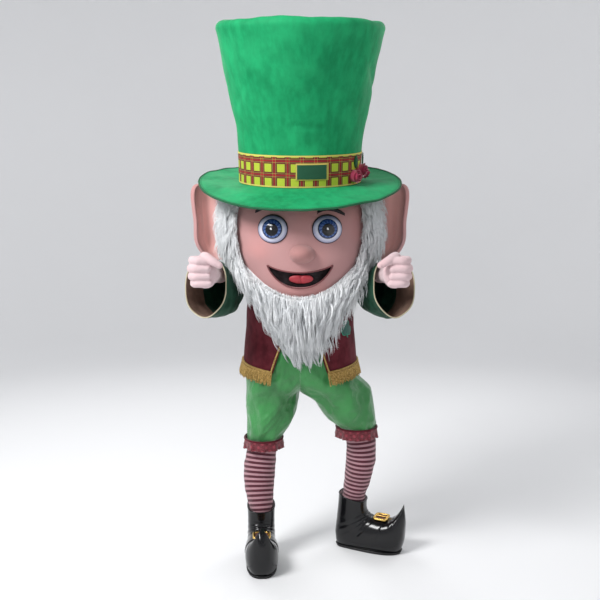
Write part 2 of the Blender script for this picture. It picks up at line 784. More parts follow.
def ear_fleece(name):
    """Fleece that is deeper pink in the cup of the ear."""
    tones = colours()
    cloth = Finish(name, rough=0.8, Sheen_Weight=0.2)
    u, v = cloth.cloth()
    cup = u.between(0.08, 0.3) * (1 - u.between(0.5, 0.78))
    cup = cup * v.between(0.08, 0.26) * (1 - v.between(0.76, 0.95))
    paint = cloth.mix(cup, mixed(tones.skin, (0.85, 0.52, 0.5), 0.4), tones.ear)
    paint = cloth.napped(paint, deeper(tones.ear, 0.7))
    cloth.raised(cloth.noise(14.0, 3.0), 0.004, 0.3)
    return cloth.done(paint)


def eye_paint(name):
    """Glossy white that greys towards its rim."""
    eye = Finish(name, rough=0.18, Coat_Weight=0.2, Coat_Roughness=0.05)
    u, v = eye.cloth()
    reach = ((u - 0.5) ** 2 + (v - 0.5) ** 2) ** 0.5 * 2
    lid = (v + 0.02).between(0.66, 1.0)
    paint = eye.mix(reach.between(0.7, 1.0), (0.7, 0.71, 0.82), (0.34, 0.35, 0.5))
    return eye.done(eye.mix(lid * 0.8, paint, (0.12, 0.12, 0.25)))


def iris_paint(name):
    """Blue with fine rays, a dark rim, a black pupil and a painted glint."""
    tones = colours()
    eye = Finish(name, rough=0.14, Coat_Weight=0.25, Coat_Roughness=0.04)
    u, v = eye.cloth()
    x, y = u - 0.5, v - 0.5
    reach = (x * x + y * y) ** 0.5 * 2
    turn = eye.add("ShaderNodeMath", {"operation": "ARCTAN2"}, {0: y, 1: x})
    rays = (turn * 23.0).sine() * (turn * 9.0 + reach * 7).sine()
    blue = eye.mix(rays.between(-0.4, 0.8), tones.blue, mixed(tones.blue, (0.35, 0.6, 1.0), 0.28))
    blue = eye.mix(reach.between(0.84, 0.95), blue, (0.005, 0.012, 0.05))
    blue = eye.mix(v.between(0.5, 1.0) * 0.65, blue, (0.01, 0.025, 0.12))
    pupil = (x * x + (y + 0.06) * (y + 0.06)) ** 0.5
    paint = eye.mix(pupil.between(0.3, 0.325), (0.002, 0.002, 0.004), blue)
    spot = ((x + 0.02) * (x + 0.02) + (y + 0.01) * (y + 0.01)) ** 0.5
    paint = eye.mix(spot.between(0.05, 0.068), (0.95, 0.97, 1.0), paint)
    return eye.done(paint)


def shamrock_felt(name):
    tone = colours().shamrock
    felt = Finish(name, rough=0.9, Sheen_Weight=0.3)
    u, v = felt.cloth()
    edge = (((u - 0.5) ** 2 + (v - 0.5) ** 2) ** 0.5 * 2).between(0.86, 0.92)
    fibre = felt.noise(330.0, 4.0, 0.6)
    felt.raised(fibre, 0.0008, 0.5)
    paint = felt.mix(fibre.between(0.3, 0.7), deeper(tone, 0.7), paler(tone, 0.06))
    return felt.done(felt.mix(edge, paint, mixed(tone, (0.1, 0.6, 0.4), 0.4)))


def pale_floor(name):
    floor = Finish(name, rough=0.7)
    soft = floor.noise(1.4, 2.0)
    return floor.done(floor.mix(soft, (0.84, 0.84, 0.85), (0.86, 0.86, 0.87)))


MADE = {}


def finish(name):
    """The material of that name, made the first time it is asked for."""
    tones, size = colours(), sizes()
    makers = {
        "hat_velvet": (velvet, tones.hat, 0.3, 6.0),
        "hat_edge": (plain_cloth, tones.hat_edge, dict(weave=0.003)),
        "top_velvet": (velvet, tones.top, 0.5, 14.0, 0.2),
        "vest_velvet": (velvet, tones.vest, 0.5, 16.0, 0.06),
        "satin": (satin_cloth, tones.satin),
        "satin_inside": (plain_cloth, deeper(tones.satin, 0.5), dict(weave=size.weave)),
        "tartan": (tartan_cloth,),
        "mesh": (mesh_window,),
        "rose": (plain_cloth, tones.rose, dict(rough=0.4, mottle=0.5, nap=0.0002, Sheen_Weight=0.3)),
        "leaf": (plain_cloth, tones.leaf, 0.5, size.weave, 0.4, dict(Specular_IOR_Level=0.15)),
        "skin": (skin_fleece, tones.skin),
        "nose": (skin_fleece, deeper(mixed(tones.skin, (0.8, 0.3, 0.26), 0.25), 0.72)),
        "ear": (ear_fleece,),
        "glove": (skin_fleece, tones.glove),
        "lip": (plain_cloth, (0.2, 0.06, 0.065), dict(mottle=0.2)),
        "foam": (plain_cloth, (0.3, 0.29, 0.27), dict(mottle=0.2, nap=0.001)),
        "mouth": (plain_cloth, (0.007, 0.002, 0.004), dict(mottle=0.4, Specular_IOR_Level=0.1)),
        "tongue": (plain_cloth, (0.42, 0.02, 0.035), dict(rough=0.5, mottle=0.3)),
        "eye": (eye_paint,),
        "iris_right": (iris_paint,),
        "iris_left": (iris_paint,),
        "eye_line": (plain_cloth, (0.006, 0.006, 0.012), dict(rough=0.35, mottle=0.3)),
        "brow": (plain_cloth, (0.012, 0.01, 0.012), dict(mottle=0.5, nap=0.001)),
        "fur": (fur_hair, tones.fur),
        "fur_ground": (fur_hair, deeper(tones.fur, 0.9)),
        "lining": (plain_cloth, tones.lining, dict(weave=size.weave, mottle=0.35)),
        "hem_line": (plain_cloth, (0.55, 0.5, 0.34), dict(mottle=0.3)),
        "gold": (gold_thread,),
        "shamrock": (shamrock_felt,),
        "lace": (lace_cloth,),
        "knit": (stocking_knit,),
        "vinyl": (black_vinyl,),
        "rubber": (black_vinyl, 0.45),
        "boot_lining": (plain_cloth, (0.6, 0.56, 0.56), dict(weave=size.weave)),
        "buckle": (polished_gold,),
        "buckle_inset": (plain_cloth, (0.09, 0.012, 0.012), dict(rough=0.5, mottle=0.4)),
        "thread": (plain_cloth, (0.02, 0.02, 0.022), dict(rough=0.6)),
        "floor": (pale_floor,),
    }
    if name not in MADE:
        maker, *values = makers[name]
        options = values.pop() if values and isinstance(values[-1], dict) else {}
        MADE[name] = maker(name, *values, **options)
    return MADE[name]


# Geometry nodes: fur, fringe and stitches
INPUT_KINDS = {"Seed": "Int", "Material": "Material"}
VECTORS = {"data_type": "FLOAT_VECTOR"}
HALF = (0.5, 0.5, 0.5)


def tree_inputs(name, shape, *labels):
    """An empty geometry tree whose first input is a shape, and the wires of its inputs."""
    tree = bpy.data.node_groups.new(name, "GeometryNodeTree")
    tree.interface.new_socket("Geometry", in_out="OUTPUT", socket_type="NodeSocketGeometry")
    tree.interface.new_socket(shape, in_out="INPUT", socket_type="NodeSocketGeometry")
    for label in (*labels, "Material"):
        kind = INPUT_KINDS.get(label, "Float")
        tree.interface.new_socket(label, in_out="INPUT", socket_type="NodeSocket" + kind)
    nodes = Nodes(tree)
    entry = tree.nodes.new("NodeGroupInput")
    return nodes, {label: nodes.wire(entry.outputs[label]) for label in (shape, *labels, "Material")}


def tree_output(nodes, shape, material):
    """Ends a tree in plain geometry with its material."""
    plain = nodes.geo("RealizeInstances", Geometry=shape)
    smooth = nodes.geo("SetShadeSmooth", Geometry=plain, Shade_Smooth=True)
    painted = nodes.geo("SetMaterial", Geometry=smooth, Material=material)
    leave = nodes.tree.nodes.new("NodeGroupOutput")
    nodes.tree.links.new(painted.socket, leave.inputs[0])
    return nodes.tree


def kept_as(nodes, points, name, value):
    """Points that remember a vector under a name."""
    return nodes.geo("StoreNamedAttribute", {**VECTORS, "domain": "POINT"},
                     Geometry=points, Name=name, Value=value)


def named(nodes, name):
    return nodes.geo("InputNamedAttribute", VECTORS, Name=name)


def stood_on(nodes, points, count):
    """A straight line of that many points on each point; gives the lines, their roots and how far along."""
    kept = kept_as(nodes, points, "root", nodes.geo("InputPosition"))
    line = nodes.geo("CurvePrimitiveLine", Start=(0, 0, 0), End=(0, 0, 1))
    line = nodes.geo("ResampleCurve", Curve=line, Count=count)
    stood = nodes.geo("InstanceOnPoints", Points=kept, Instance=line)
    return nodes.geo("RealizeInstances", Geometry=stood), named(nodes, "root"), nodes.geo("SplineParameter")


def points_along(nodes, line, step):
    curved = nodes.geo("MeshToCurve", Mesh=line)
    curved = nodes.geo("ResampleCurve", {"mode": "LENGTH"}, Curve=curved, Length=step)
    return nodes.geo("CurveToPoints", {"mode": "EVALUATED"}, Curve=curved)


def tube(nodes, line, radius, sides, caps):
    ring = nodes.geo("CurvePrimitiveCircle", Resolution=sides, Radius=1.0)
    return nodes.geo("CurveToMesh", Curve=line, Profile_Curve=ring, Scale=radius, Fill_Caps=caps)


def hair_tree():
    """Hairs scattered over a ground that run along its flow, bend in locks and end in a point."""
    nodes, given = tree_inputs(
        "Costume hair", "Ground", "Density", "Thickness", "Lift", "Wave", "Lock Size", "Seed")
    spread = nodes.geo("DistributePointsOnFaces", {"distribute_method": "RANDOM"},
                       Mesh=given["Ground"], Density=given["Density"], Seed=given["Seed"])
    hairs, root, part = stood_on(nodes, kept_as(nodes, spread, "facing", spread.beside("Normal")), 6)
    lock_size, sway = given["Lock Size"], given["Wave"] * part
    strewn = root + nodes.grain(root, 30.0, 1.0, out=1) * (lock_size * 3.0)
    lock = strewn.snapped(lock_size)
    chance = nodes.add("ShaderNodeTexWhiteNoise", {"noise_dimensions": "3D"}, {"Vector": lock})
    curl = (part * 7.0 + chance * 6.0).sine() * 0.3 + 1.0
    run = named(nodes, "flow") * (part * (nodes.grain(root, 900.0) * 0.5 + chance * 0.5 + 0.4))
    rise = named(nodes, "facing") * (given["Lift"] * (part * 3.1416).sine())
    bend = (chance.beside("Color") - HALF) * (sway * curl)
    stray = (nodes.grain(root, 400.0, out=1) - HALF) * (sway * 0.35)
    pull = (lock + lock_size * 0.5 - strewn) * (part ** 0.7 * 0.8)
    hairs = nodes.geo("SetPosition", Geometry=hairs, Position=root + run + rise + bend + stray + pull)
    return tree_output(nodes, tube(nodes, hairs, given["Thickness"] * (1.02 - part) ** 0.6, 3, False),
                       given["Material"])


def fringe_tree():
    """Threads hung side by side from a line, each a little uneven."""
    nodes, given = tree_inputs("Costume fringe", "Hem", "Pitch", "Drop", "Thickness", "Wave")
    hung, root, part = stood_on(nodes, points_along(nodes, given["Hem"], given["Pitch"]), 7)
    long = part * (given["Drop"] * (nodes.grain(root, 500.0) * 0.5 + 0.75))
    down = nodes.add("ShaderNodeCombineXYZ", {}, {"Z": long * -1.0})
    sway = (nodes.grain(root, 260.0, out=1) - HALF) * (given["Wave"] * part)
    spot = root + down + named(nodes, "away") * long + sway
    hung = nodes.geo("SetPosition", Geometry=hung, Position=spot)
    slim = given["Thickness"] * (1.08 - (part * 9.0).fraction() * 0.25) * (1.0 - part ** 8 * 0.5)
    return tree_output(nodes, tube(nodes, hung, slim, 4, True), given["Material"])


def stitch_tree():
    """Short raised stitches set one after another along a line."""
    nodes, given = tree_inputs("Costume stitches", "Line", "Stitch", "Thickness")
    points = points_along(nodes, given["Line"], given["Stitch"])
    half = given["Stitch"] * 0.33
    low, high = (nodes.add("ShaderNodeCombineXYZ", {}, {"Z": half * way}) for way in (-1.0, 1.0))
    one = nodes.geo("CurvePrimitiveLine", Start=low, End=high)
    one = nodes.geo("ResampleCurve", Curve=one, Count=4)
    slim = given["Thickness"] * ((nodes.geo("SplineParameter") * 3.1416).sine() * 0.7 + 0.3)
    sewn = nodes.geo("InstanceOnPoints", Points=points, Instance=tube(nodes, one, slim, 5, True),
                     Rotation=points.beside("Rotation"))
    return tree_output(nodes, sewn, given["Material"])


TREES = {}


def grown(thing, maker, material, **values):
    """Runs a tree on an object with these inputs and keeps the plain mesh it makes."""
    if maker.__name__ not in TREES:
        TREES[maker.__name__] = maker()
    tree = TREES[maker.__name__]
    modifier = thing.modifiers.new("Made", "NODES")
    modifier.node_group = tree
    values["Material"] = finish(material)
    for item in tree.interface.items_tree:
        key = item.name.replace(" ", "_")
        if item.in_out == "INPUT" and key in values:
            modifier[item.identifier] = values[key]
    settled(thing)
    if not len(thing.data.polygons):
        raise RuntimeError(f"{thing.name} came out empty")
    return thing


def bare_object(name, points, edges=(), faces=(), **vectors):
    """Points for a tree to work on, with named vectors."""
    mesh = bpy.data.meshes.new(name)
    mesh.from_pydata(placed(points).reshape(-1, 3).tolist(), edges, faces)
    for key, values in vectors.items():
        store = mesh.attributes.new(key, "FLOAT_VECTOR", "POINT")
        store.data.foreach_set("vector", np.asarray(values, np.float32).ravel())
    return linked(name, mesh)


def line_object(name, line, **vectors):
    """A thin line of points for fringe or stitches to follow."""
    return bare_object(name, line, edges=[(i, i + 1) for i in range(len(line) - 1)], **vectors)


def stitched(name, line, material="thread", thick=0.0006):
    trim(grown(line_object(name, line), stitch_tree, material, Stitch=sizes().stitch, Thickness=thick))


def furred(name, ground, flow, seed, lift, wave, lock_size=0.016, count=None):
    """Hair over a grid of points; flow is how far and which way each hair runs, in metres."""
    points = placed(ground)
    a, b, c = points[:-1, :-1], points[:-1, 1:], points[1:, :-1]
    facing = np.cross(b - a, c - a)
    area = np.linalg.norm(facing, axis=2).sum()
    faces = cells(*ground.shape[:2])
    if (facing * (a - points.mean(axis=(0, 1)))).sum() < 0:
        faces = [face[::-1] for face in faces]
    thing = bare_object(name, ground, faces=faces, flow=flow)
    count = count or sizes().hair_count
    trim(grown(thing, hair_tree, "fur", Density=count / area, Thickness=HAIR_THICK, Lift=lift, Wave=wave,
               Lock_Size=lock_size, Seed=seed))


# Hat
HAT_SEAT, HAT_TILT, HAT_FOOT, HAT_HEIGHT = 1537, radians(8), 238, 593
HAT_WALL, HAT_EDGE, HAT_DOME, HAT_ROUND = 6, 26, 6, 25
BRIM_HOLE, BRIM_SIDE, BRIM_FRONT, BRIM_BACK, BRIM_THICK = 214, 396, 424, 402, 6.4
BRIM_DROOP, BRIM_DISH, BRIM_WAVE = 0.25, 0.05, 5
BAND_HEIGHT, BAND_THICK, LAID_ON, BAND_RUN = 118, 2, 0.5, 0.1166
WINDOW_TURN, WINDOW_WIDTH, WINDOW_HEIGHT = 11, 122, 62
CROWN = table("up radius", [(0, 238), (122, 241), (300, 266), (567, 320)])
CREASES = table("turn up end_turn end_up deep width", [
    (-9, 470, 25, 307, 5, 15), (-6, 224, 20, 216, 4, 11), (22, 300, 30, 220, 3, 12),
    (-62, 300, -34, 400, 4, 18), (62, 430, 96, 330, 5, 18), (112, 210, 150, 250, 4, 14),
    (168, 430, 205, 300, 5, 18), (232, 280, 262, 390, 5, 18),
])
crown_radius = curve(CROWN, "up", "radius")


def in_hat(radius, turn, up):
    x, y = radius * sin(turn), -radius * cos(turn)
    ahead, over = cos(HAT_TILT), sin(HAT_TILT)
    return stack(x, y * ahead - up * over, HAT_SEAT + y * over + up * ahead)


def hat_seat_at(turn):
    return HAT_SEAT - HAT_FOOT * cos(turn) * sin(HAT_TILT)


def on_crown(turn, up, out):
    return in_hat(crown_radius(up) + out, turn, up + 0.3)


def creased(turn, up, rows):
    """How deep the pressed creases of a tall round piece are at each place."""
    total = np.zeros(np.broadcast(turn, up).shape)
    for t0, u0, t1, u1, deep, width in zip(*rows.values()):
        t0, t1 = radians(t0), radians(t1)
        s = (turn - t0 + pi) % (2 * pi) - pi
        ax, ay = s * 280, up - u0
        bx, by = (t1 - t0) * 280, u1 - u0
        part = ramp((ax * bx + ay * by) / (bx * bx + by * by))
        far = (ax - part * bx) ** 2 + (ay - part * by) ** 2
        total += deep * np.exp(-far / width**2) - 0.35 * deep * np.exp(-far / (2.4 * width) ** 2)
    return total


def brim_up(radius, turn):
    past = np.maximum(radius - HAT_FOOT - 8, 0)
    slope = -BRIM_DROOP * cos(turn) - BRIM_DISH * cos(2 * turn)
    edge = ramp(past / (BRIM_SIDE - HAT_FOOT)) ** 2
    return slope * past + BRIM_WAVE * edge * sin(3 * turn + 0.7)


def build_crown():
    turn = turns(128)[None, :]
    side = np.linspace(0, HAT_HEIGHT - HAT_EDGE, 66)
    corner = np.linspace(0, pi / 2, 9)[1:]
    top = np.linspace(1, 0.04, 12)[1:]
    flat = crown_radius(HAT_HEIGHT - HAT_EDGE) - HAT_ROUND
    radius = np.concatenate([crown_radius(side), flat + HAT_ROUND * cos(corner), flat * top])[:, None]
    dome = HAT_HEIGHT + HAT_DOME * (1 - top**2)
    up = np.concatenate([side, side[-1] + HAT_EDGE * sin(corner), dome])[:, None]
    points = in_hat(radius, turn, up + 0.3)
    free = ramp((up - 124) / 60)
    soft = ripple(points, 190, 4) * 2.6 + ripple(points, 70, 5) * 0.8
    grid = moved(points, (soft - creased(turn, up, CREASES)) * free, True)
    inner = moved(grid, -HAT_WALL, True)
    peak = grid[-1].mean(axis=0)
    thing = wall("hat_crown", grid, inner, "hat_velvet", loop=True,
                 tips=[peak + [0, 0, 0.3], peak - [0, 0, HAT_WALL]])
    worn(thing)


def build_brim():
    turn = turns(160)[None, :]
    lean = cos(turn)
    reach = BRIM_SIDE + (np.where(lean > 0, BRIM_FRONT, BRIM_BACK) - BRIM_SIDE) * lean**2
    share = down_rows(0, 1, 26)
    radius = BRIM_HOLE + (reach - BRIM_HOLE) * share
    grid = in_hat(radius, turn, brim_up(radius, turn))
    free = ramp((radius - 262) / 60)
    grid[..., 2] += free * (ripple(grid, 150, 8) * 2.0 + ripple(grid, 60, 9) * 0.6)
    under = grid - stack(0, 0, BRIM_THICK - 2 * share**6)
    worn(wall("hat_brim", grid, under, "hat_velvet hat_edge", loop=True))
    edge = grid[-1] - [0, 0, 2.4]
    trim(hoop("hat_brim_binding", edge, 4.2, "hat_edge"))
    stitched("hat_brim_stitches", grid[-2] + [0, 0, 0.4], "hat_edge", 0.0008)


def build_band():
    turn = turns(160)[None, :]
    up = down_rows(1.5, BAND_HEIGHT, 22)
    fold = 0.7 * sin(turn * 7) * sin(up / BAND_HEIGHT * pi)
    outer = on_crown(turn, up, LAID_ON + BAND_THICK + fold)
    inner = on_crown(turn, up, LAID_ON + 0 * fold)
    worn(wall("hat_band", outer, inner, "tartan", loop=True), cut=outer, loop=True)
    for name, height in (("low", 5), ("high", BAND_HEIGHT - 5)):
        line = on_crown(turns(160), height, LAID_ON + BAND_THICK + 0.3)
        stitched(f"hat_band_stitches_{name}", line, "hem_line", 0.0007)
    half = WINDOW_WIDTH / HAT_FOOT / 2
    t = (radians(WINDOW_TURN) + np.linspace(-half, half, 40))[None, :]
    low = (BAND_HEIGHT - WINDOW_HEIGHT) / 2
    v = down_rows(low, low + WINDOW_HEIGHT, 20)
    edge = np.minimum(np.minimum(v - low, low + WINDOW_HEIGHT - v) / 6,
                      np.minimum(t - t.min(), t.max() - t) * HAT_FOOT / 6).clip(0, 1)
    out = 4.2 + 2.2 * np.sqrt(edge)
    worn(wall("hat_window", on_crown(t, v, out), on_crown(t, v, 3.6 + 0 * out), "mesh"),
         cut=on_crown(t, v, out))


ROSES = table("turn up radius stand", [(87, 34, 26, 30), (72, 52, 26, 30), (57, 34, 26, 30)])
ROSE_NAMES = ("rose_outer", "rose_middle", "rose_low")
LEAVES = table("turn up long wide", [(60, 86, 24, 12), (84, 88, 26, 12)])
LEAF_NAMES = ("leaf_front", "leaf_side")


def on_band(turn, up):
    return lambda s, t, out: on_crown(radians(turn) + s / HAT_FOOT, up + t, 3.4 + out)


def build_roses():
    """Each rose is one ribbon wound round its heart, on a cloth base."""
    for index, (name, turn, up, radius, stand) in enumerate(zip(ROSE_NAMES, *ROSES.values())):
        at = on_band(turn, max(up, radius * 1.15))
        wind = along_rows(0, 1, 190)
        high = down_rows(0, 1, 9)
        angle = wind * 2 * pi * 3.6 + index * 1.9
        flare = 2 + 6.5 * high**1.6 * wind
        petals = 1.5 * sin(angle * 2.5 + index) * high * wind
        far = 2.5 + (radius - 7) * wind**0.9 + flare + petals
        out = 1 + high * (stand * (1.02 - 0.55 * wind**1.5) + 2.2 * sin(angle * 2.5))
        outer = at(far * cos(angle), far * sin(angle), out)
        near = far - 1.1
        inner = at(near * cos(angle), near * sin(angle), out - 0.2)
        worn(wall(name, outer, inner, "rose"), cut=outer)
        base = pad(f"{name}_base", at, oval(0, 0, radius * 0.9, radius * 0.9), "rose",
                   columns=40, thick=2, rise=13, power=0.6)
        trim(base)


def build_leaves():
    for name, turn, up, long, wide in zip(LEAF_NAMES, *LEAVES.values()):
        def outline(angle, r, wide=wide, long=long):
            return (r * wide * sin(angle) * np.abs(sin(angle)) ** 0.4 * 1.1, r * long * cos(angle))

        at = on_band(turn, up)

        def veined(s, t, out, at=at, wide=wide, long=long):
            vein = 1.6 * np.exp(-(s / 2.2) ** 2) + 0.7 * cos(t * 0.9 + np.abs(s) * 0.7)
            return at(s, t, out - np.where(np.asarray(out) > 1, vein, 0))

        worn(pad(name, veined, outline, "leaf", columns=56, rows=12, thick=2.4, rise=3.5))


# Head
HEAD_WALL, JAW_FRONT, JAW_SIDE, JAW_BACK = 14, 1105, 1262, 1190
HEAD = table("drop side front back", [
    (8, 232, 232, 232), (34, 266, 262, 268), (84, 296, 298, 300), (160, 308, 322, 318),
    (240, 303, 332, 316), (320, 278, 330, 300), (380, 245, 316, 280), (432, 205, 290, 255),
])
JAW = table("turn z", [
    (0, JAW_FRONT), (22, JAW_FRONT + 12), (48, JAW_SIDE - 40), (70, JAW_SIDE), (110, JAW_SIDE),
    (150, JAW_BACK + 14), (180, JAW_BACK),
])
head_side, head_front, head_back = (curve(HEAD, "drop", name) for name in ("side", "front", "back"))
jaw = curve(JAW, "turn", "z")
MOUTH_HALF, MOUTH_CORNER, MOUTH_DIP, MOUTH_DEPTH = 116, 1226, 26, 79
EYE_APART, EYE_Z, EYE_WIDE, EYE_HIGH, EYE_RISE = 98, 1356, 52, 48, 15
IRIS_APART, IRIS_Z, IRIS = 94.5, 1355, 34
NOSE_X, NOSE_Z, NOSE_WIDE, NOSE_HIGH, NOSE_RISE = 8, 1268, 47, 34, 43
CHEEKS = table("x z wide high rise", [(152, 1262, 52, 44, 9), (-152, 1262, 52, 44, 9), (0, 1136, 56, 22, 4)])


def folded(turn):
    degrees = np.degrees(np.abs(turn)) % 360
    return np.where(degrees > 180, 360 - degrees, degrees)


def head_point(turn, z, out=0.0):
    drop = hat_seat_at(turn) - z
    lean = cos(turn)
    deep = np.where(lean > 0, head_front(drop), head_back(drop))
    x, y = head_side(drop) * sin(turn), -deep * lean
    swell = 1 + out / np.hypot(x, y)
    return stack(x * swell, y * swell, z)


def face_point(x, z):
    turn = np.arcsin(np.clip(x / head_side(HAT_SEAT - z), -0.98, 0.98))
    for _ in range(6):
        turn = np.arcsin(np.clip(x / head_side(hat_seat_at(turn) - z), -0.98, 0.98))
    return stack(x, head_point(turn, z)[..., 1], z)


def on_face(x, z, out=0.0):
    across = face_point(x + 4, z) - face_point(x - 4, z)
    normal = unit(np.cross(across, face_point(x, z + 4) - face_point(x, z - 4)))
    return face_point(x, z) + normal * np.asarray(out)[..., None]


def cheeks(x, z):
    return sum(rise * np.exp(-((x - cx) / wide) ** 2 - ((z - cz) / high) ** 2)
               for cx, cz, wide, high, rise in zip(*CHEEKS.values()))


def mouth_line(inset=0.0, steps=48):
    """The mouth's outline by width and height, drawn in by the inset."""
    t = -cos(np.linspace(0, pi, steps))
    upper = stack(t * MOUTH_HALF, MOUTH_CORNER - MOUTH_DIP * (1 - t * t) ** 0.8)
    lower = stack(t * MOUTH_HALF, MOUTH_CORNER - MOUTH_DEPTH * (1 - np.abs(t) ** 2.3) ** 0.75)
    line = np.concatenate([upper, lower[-2:0:-1]])
    way = unit(np.roll(line, -1, 0) - np.roll(line, 1, 0))
    return line + inset * stack(way[:, 1], -way[:, 0])


def mouth_middle(x):
    t = ramp(np.abs(x) / MOUTH_HALF)
    return MOUTH_CORNER - (MOUTH_DIP * (1 - t * t) ** 0.8 + MOUTH_DEPTH * (1 - t**2.3) ** 0.75) / 2


def build_head():
    turn = turns(180)[None, :]
    share = down_rows(0, 1, 70)
    low, high = jaw(folded(turn)), hat_seat_at(turn) - 8.6
    z = low + (high - low) * share
    outer = head_point(turn, z)
    front = ramp(-outer[..., 1] / 120)
    outer = moved(outer, (cheeks(outer[..., 0], outer[..., 2])) * front * sin(share * pi) ** 0.3, True)
    inner = moved(outer, -HEAD_WALL, True)
    under = BRIM_THICK + 1.1
    for grid, part in ((inner, 1 - HEAD_WALL / HAT_FOOT), (outer, 1.0)):
        rim = head_point(turn, high)[0] * part
        grid[-1] = stack(rim[:, 0], rim[:, 1], HAT_SEAT + rim[:, 1] * math.tan(HAT_TILT) - under)
    thing = wall("head_shell", outer, inner, "skin foam", loop=True)
    line = mouth_line()
    ends = np.stack([stack(line[:, 0], y, line[:, 1]) for y in (-480, -200)])
    cutter = filled("mouth_cutter", ends, "lip")
    carved(thing, cutter)
    worn(thing)
    lip = mouth_line(-1.5)
    edge = on_face(lip[:, 0], lip[:, 1], cheeks(lip[:, 0], lip[:, 1]) + 0.5)
    trim(hoop("lip_binding", edge, 2.6, "lip"))


def build_mouth():
    line = mouth_line(1.4)
    share = down_rows(1, 0.06, 16)
    x = line[:, 0] * share
    z = mouth_middle(x) + (line[:, 1] - mouth_middle(line[:, 0])) * share
    y = face_point(x, z)[..., 1] + 8 + 7 * (1 - share)
    grid = stack(x, y, z)
    middle = float(mouth_middle(0))
    deepest = np.array([0, float(face_point(0, middle)[1]) + 15, middle])
    thing = wall("mouth_lining", grid, grid + [0, 3, 0], "mouth", loop=True,
                 tips=[deepest, deepest + [0, 3, 0]])
    worn(thing)

    def floor_of_mouth(x, z, out):
        return stack(x, face_point(x, z)[..., 1] + 10.2 - out, z)

    def outline(angle, r):
        notch = 1 - 0.2 * np.maximum(sin(angle), 0) ** 8
        return 4 + r * 44 * cos(angle), 1178 + r * 17 * sin(angle) * notch

    def grooved(x, z, out):
        groove = 3.5 * np.exp(-((x - 4) / 5) ** 2) * (np.asarray(out) > 3)
        return floor_of_mouth(x, z, out - groove)

    worn(pad("tongue", grooved, outline, "tongue", columns=72, rows=14, thick=2, rise=8))


def on_eye(side):
    def surface(x, z, out):
        r = np.hypot((x - side * EYE_APART) / EYE_WIDE, (z - EYE_Z) / EYE_HIGH)
        return on_face(x, z, 5.3 + EYE_RISE * np.sqrt(np.maximum(1 - r * r, 0)) + out)
    return surface


BROW_FROM, BROW_TO, BROW_LOW, BROW_ARCH, BROW_HALF = 62, 164, 1424, 18, 8


def build_face():
    nose = pad("nose", on_face, oval(NOSE_X, NOSE_Z, NOSE_WIDE, NOSE_HIGH), "nose",
               columns=72, rows=22, thick=2, rise=NOSE_RISE, power=0.9)
    worn(nose)
    turn = turns(72, 0)
    for name, side in SIDES:
        x = side * EYE_APART
        eye = pad(f"eye_{name}", on_face, oval(x, EYE_Z, EYE_WIDE, EYE_HIGH), "eye",
                  columns=64, rows=18, thick=3, rise=EYE_RISE)
        worn(eye)
        iris = pad(f"iris_{name}", on_eye(side), oval(side * IRIS_APART, IRIS_Z, IRIS, IRIS), f"iris_{name}",
                   columns=64, rows=14, thick=1.2, rise=3)
        worn(iris)
        rim = on_face(x + 53 * cos(turn), EYE_Z + 49 * sin(turn), 1.5)
        heavy = 1.8 + 3.2 * ramp(sin(turn)) ** 0.7
        trim(hoop(f"eye_line_{name}", rim, heavy, "eye_line"))
        s = down_rows(0, 1, 48)
        t = along_rows(0, 1, 15)
        half = BROW_HALF * (0.45 + 0.55 * sin(pi * (0.15 + 0.75 * s)))
        height = BROW_LOW - 4 - 5 * side + BROW_ARCH * sin(pi * s**0.8) - 6 * s - half + 2 * half * t
        along = BROW_FROM + (BROW_TO - BROW_FROM) * s
        tuft = 0.7 * sin(along * 1.3 + t * 6)
        round_off = np.sqrt(np.maximum(1 - (2 * t - 1) ** 2, 0)) * sin(pi * s) ** 0.3
        place = np.broadcast_arrays(side * along, height)
        outer = on_face(*place, 0.4 + 5.4 * round_off + tuft * round_off)
        worn(wall(f"brow_{name}", outer, on_face(*place, -0.8 + 0 * round_off), "brow"))


EAR_WALL, EAR_Y = 13, -6
EAR = table("z root rim cup", [
    (1226, 310.4, 338.4, 0.2), (1246, 311.4, 372.4, 0.5), (1275, 316.4, 396.4, 0.8),
    (1312, 321.9, 409.4, 1), (1376, 324.4, 410.4, 1), (1430, 321.4, 416.4, 1),
    (1475, 318.4, 420.4, 0.9), (1506, 316.4, 416.4, 0.6), (1522, 328.4, 400.4, 0.3),
])
EAR_FOLD = table("s y", [(0, 0), (0.3, 27.2), (0.62, 34), (0.88, 18.7), (1, -5.2), (0.93, -26)])


def build_ears():
    z, root, rim, cup = (x[:, None] for x in along_table(EAR, "z root rim cup", 56))
    s, y = (x[None, :] for x in along_table(EAR_FOLD, "s y", 40))
    share = down_rows(0, 1, 56)
    ridge = 7 * bump(s, 0.72, 0.09) * sin(share * pi) ** 0.5 * (along_rows(0, 1, 40) < 0.8)
    for name, side in SIDES:
        front = stack(side * (root + s * (rim - root)), EAR_Y + (y - ridge) * cup, z)
        ends = 1 - 0.45 * along_rows(0, 1, 40) ** 8
        lip = 1 - 0.5 * np.abs(2 * share - 1) ** 10
        back = moved(front, EAR_WALL * ends * lip)
        if (back[..., 1] - front[..., 1])[:, 10:20].mean() < 0:
            back = moved(front, -EAR_WALL * ends * lip)
        back[:, 0, 0] = side * np.maximum(np.abs(back[:, 0, 0]), root[:, 0])
        uv = stack(along_rows(0, 1, 40), share)
        worn(wall(f"ear_{name}", front, back, "ear skin", uv=uv))
        rim_line = (front[:, -1] + back[:, -1]) / 2
        trim(cord(f"ear_edge_{name}", rim_line, EAR_WALL * 0.3, "skin", columns=12))


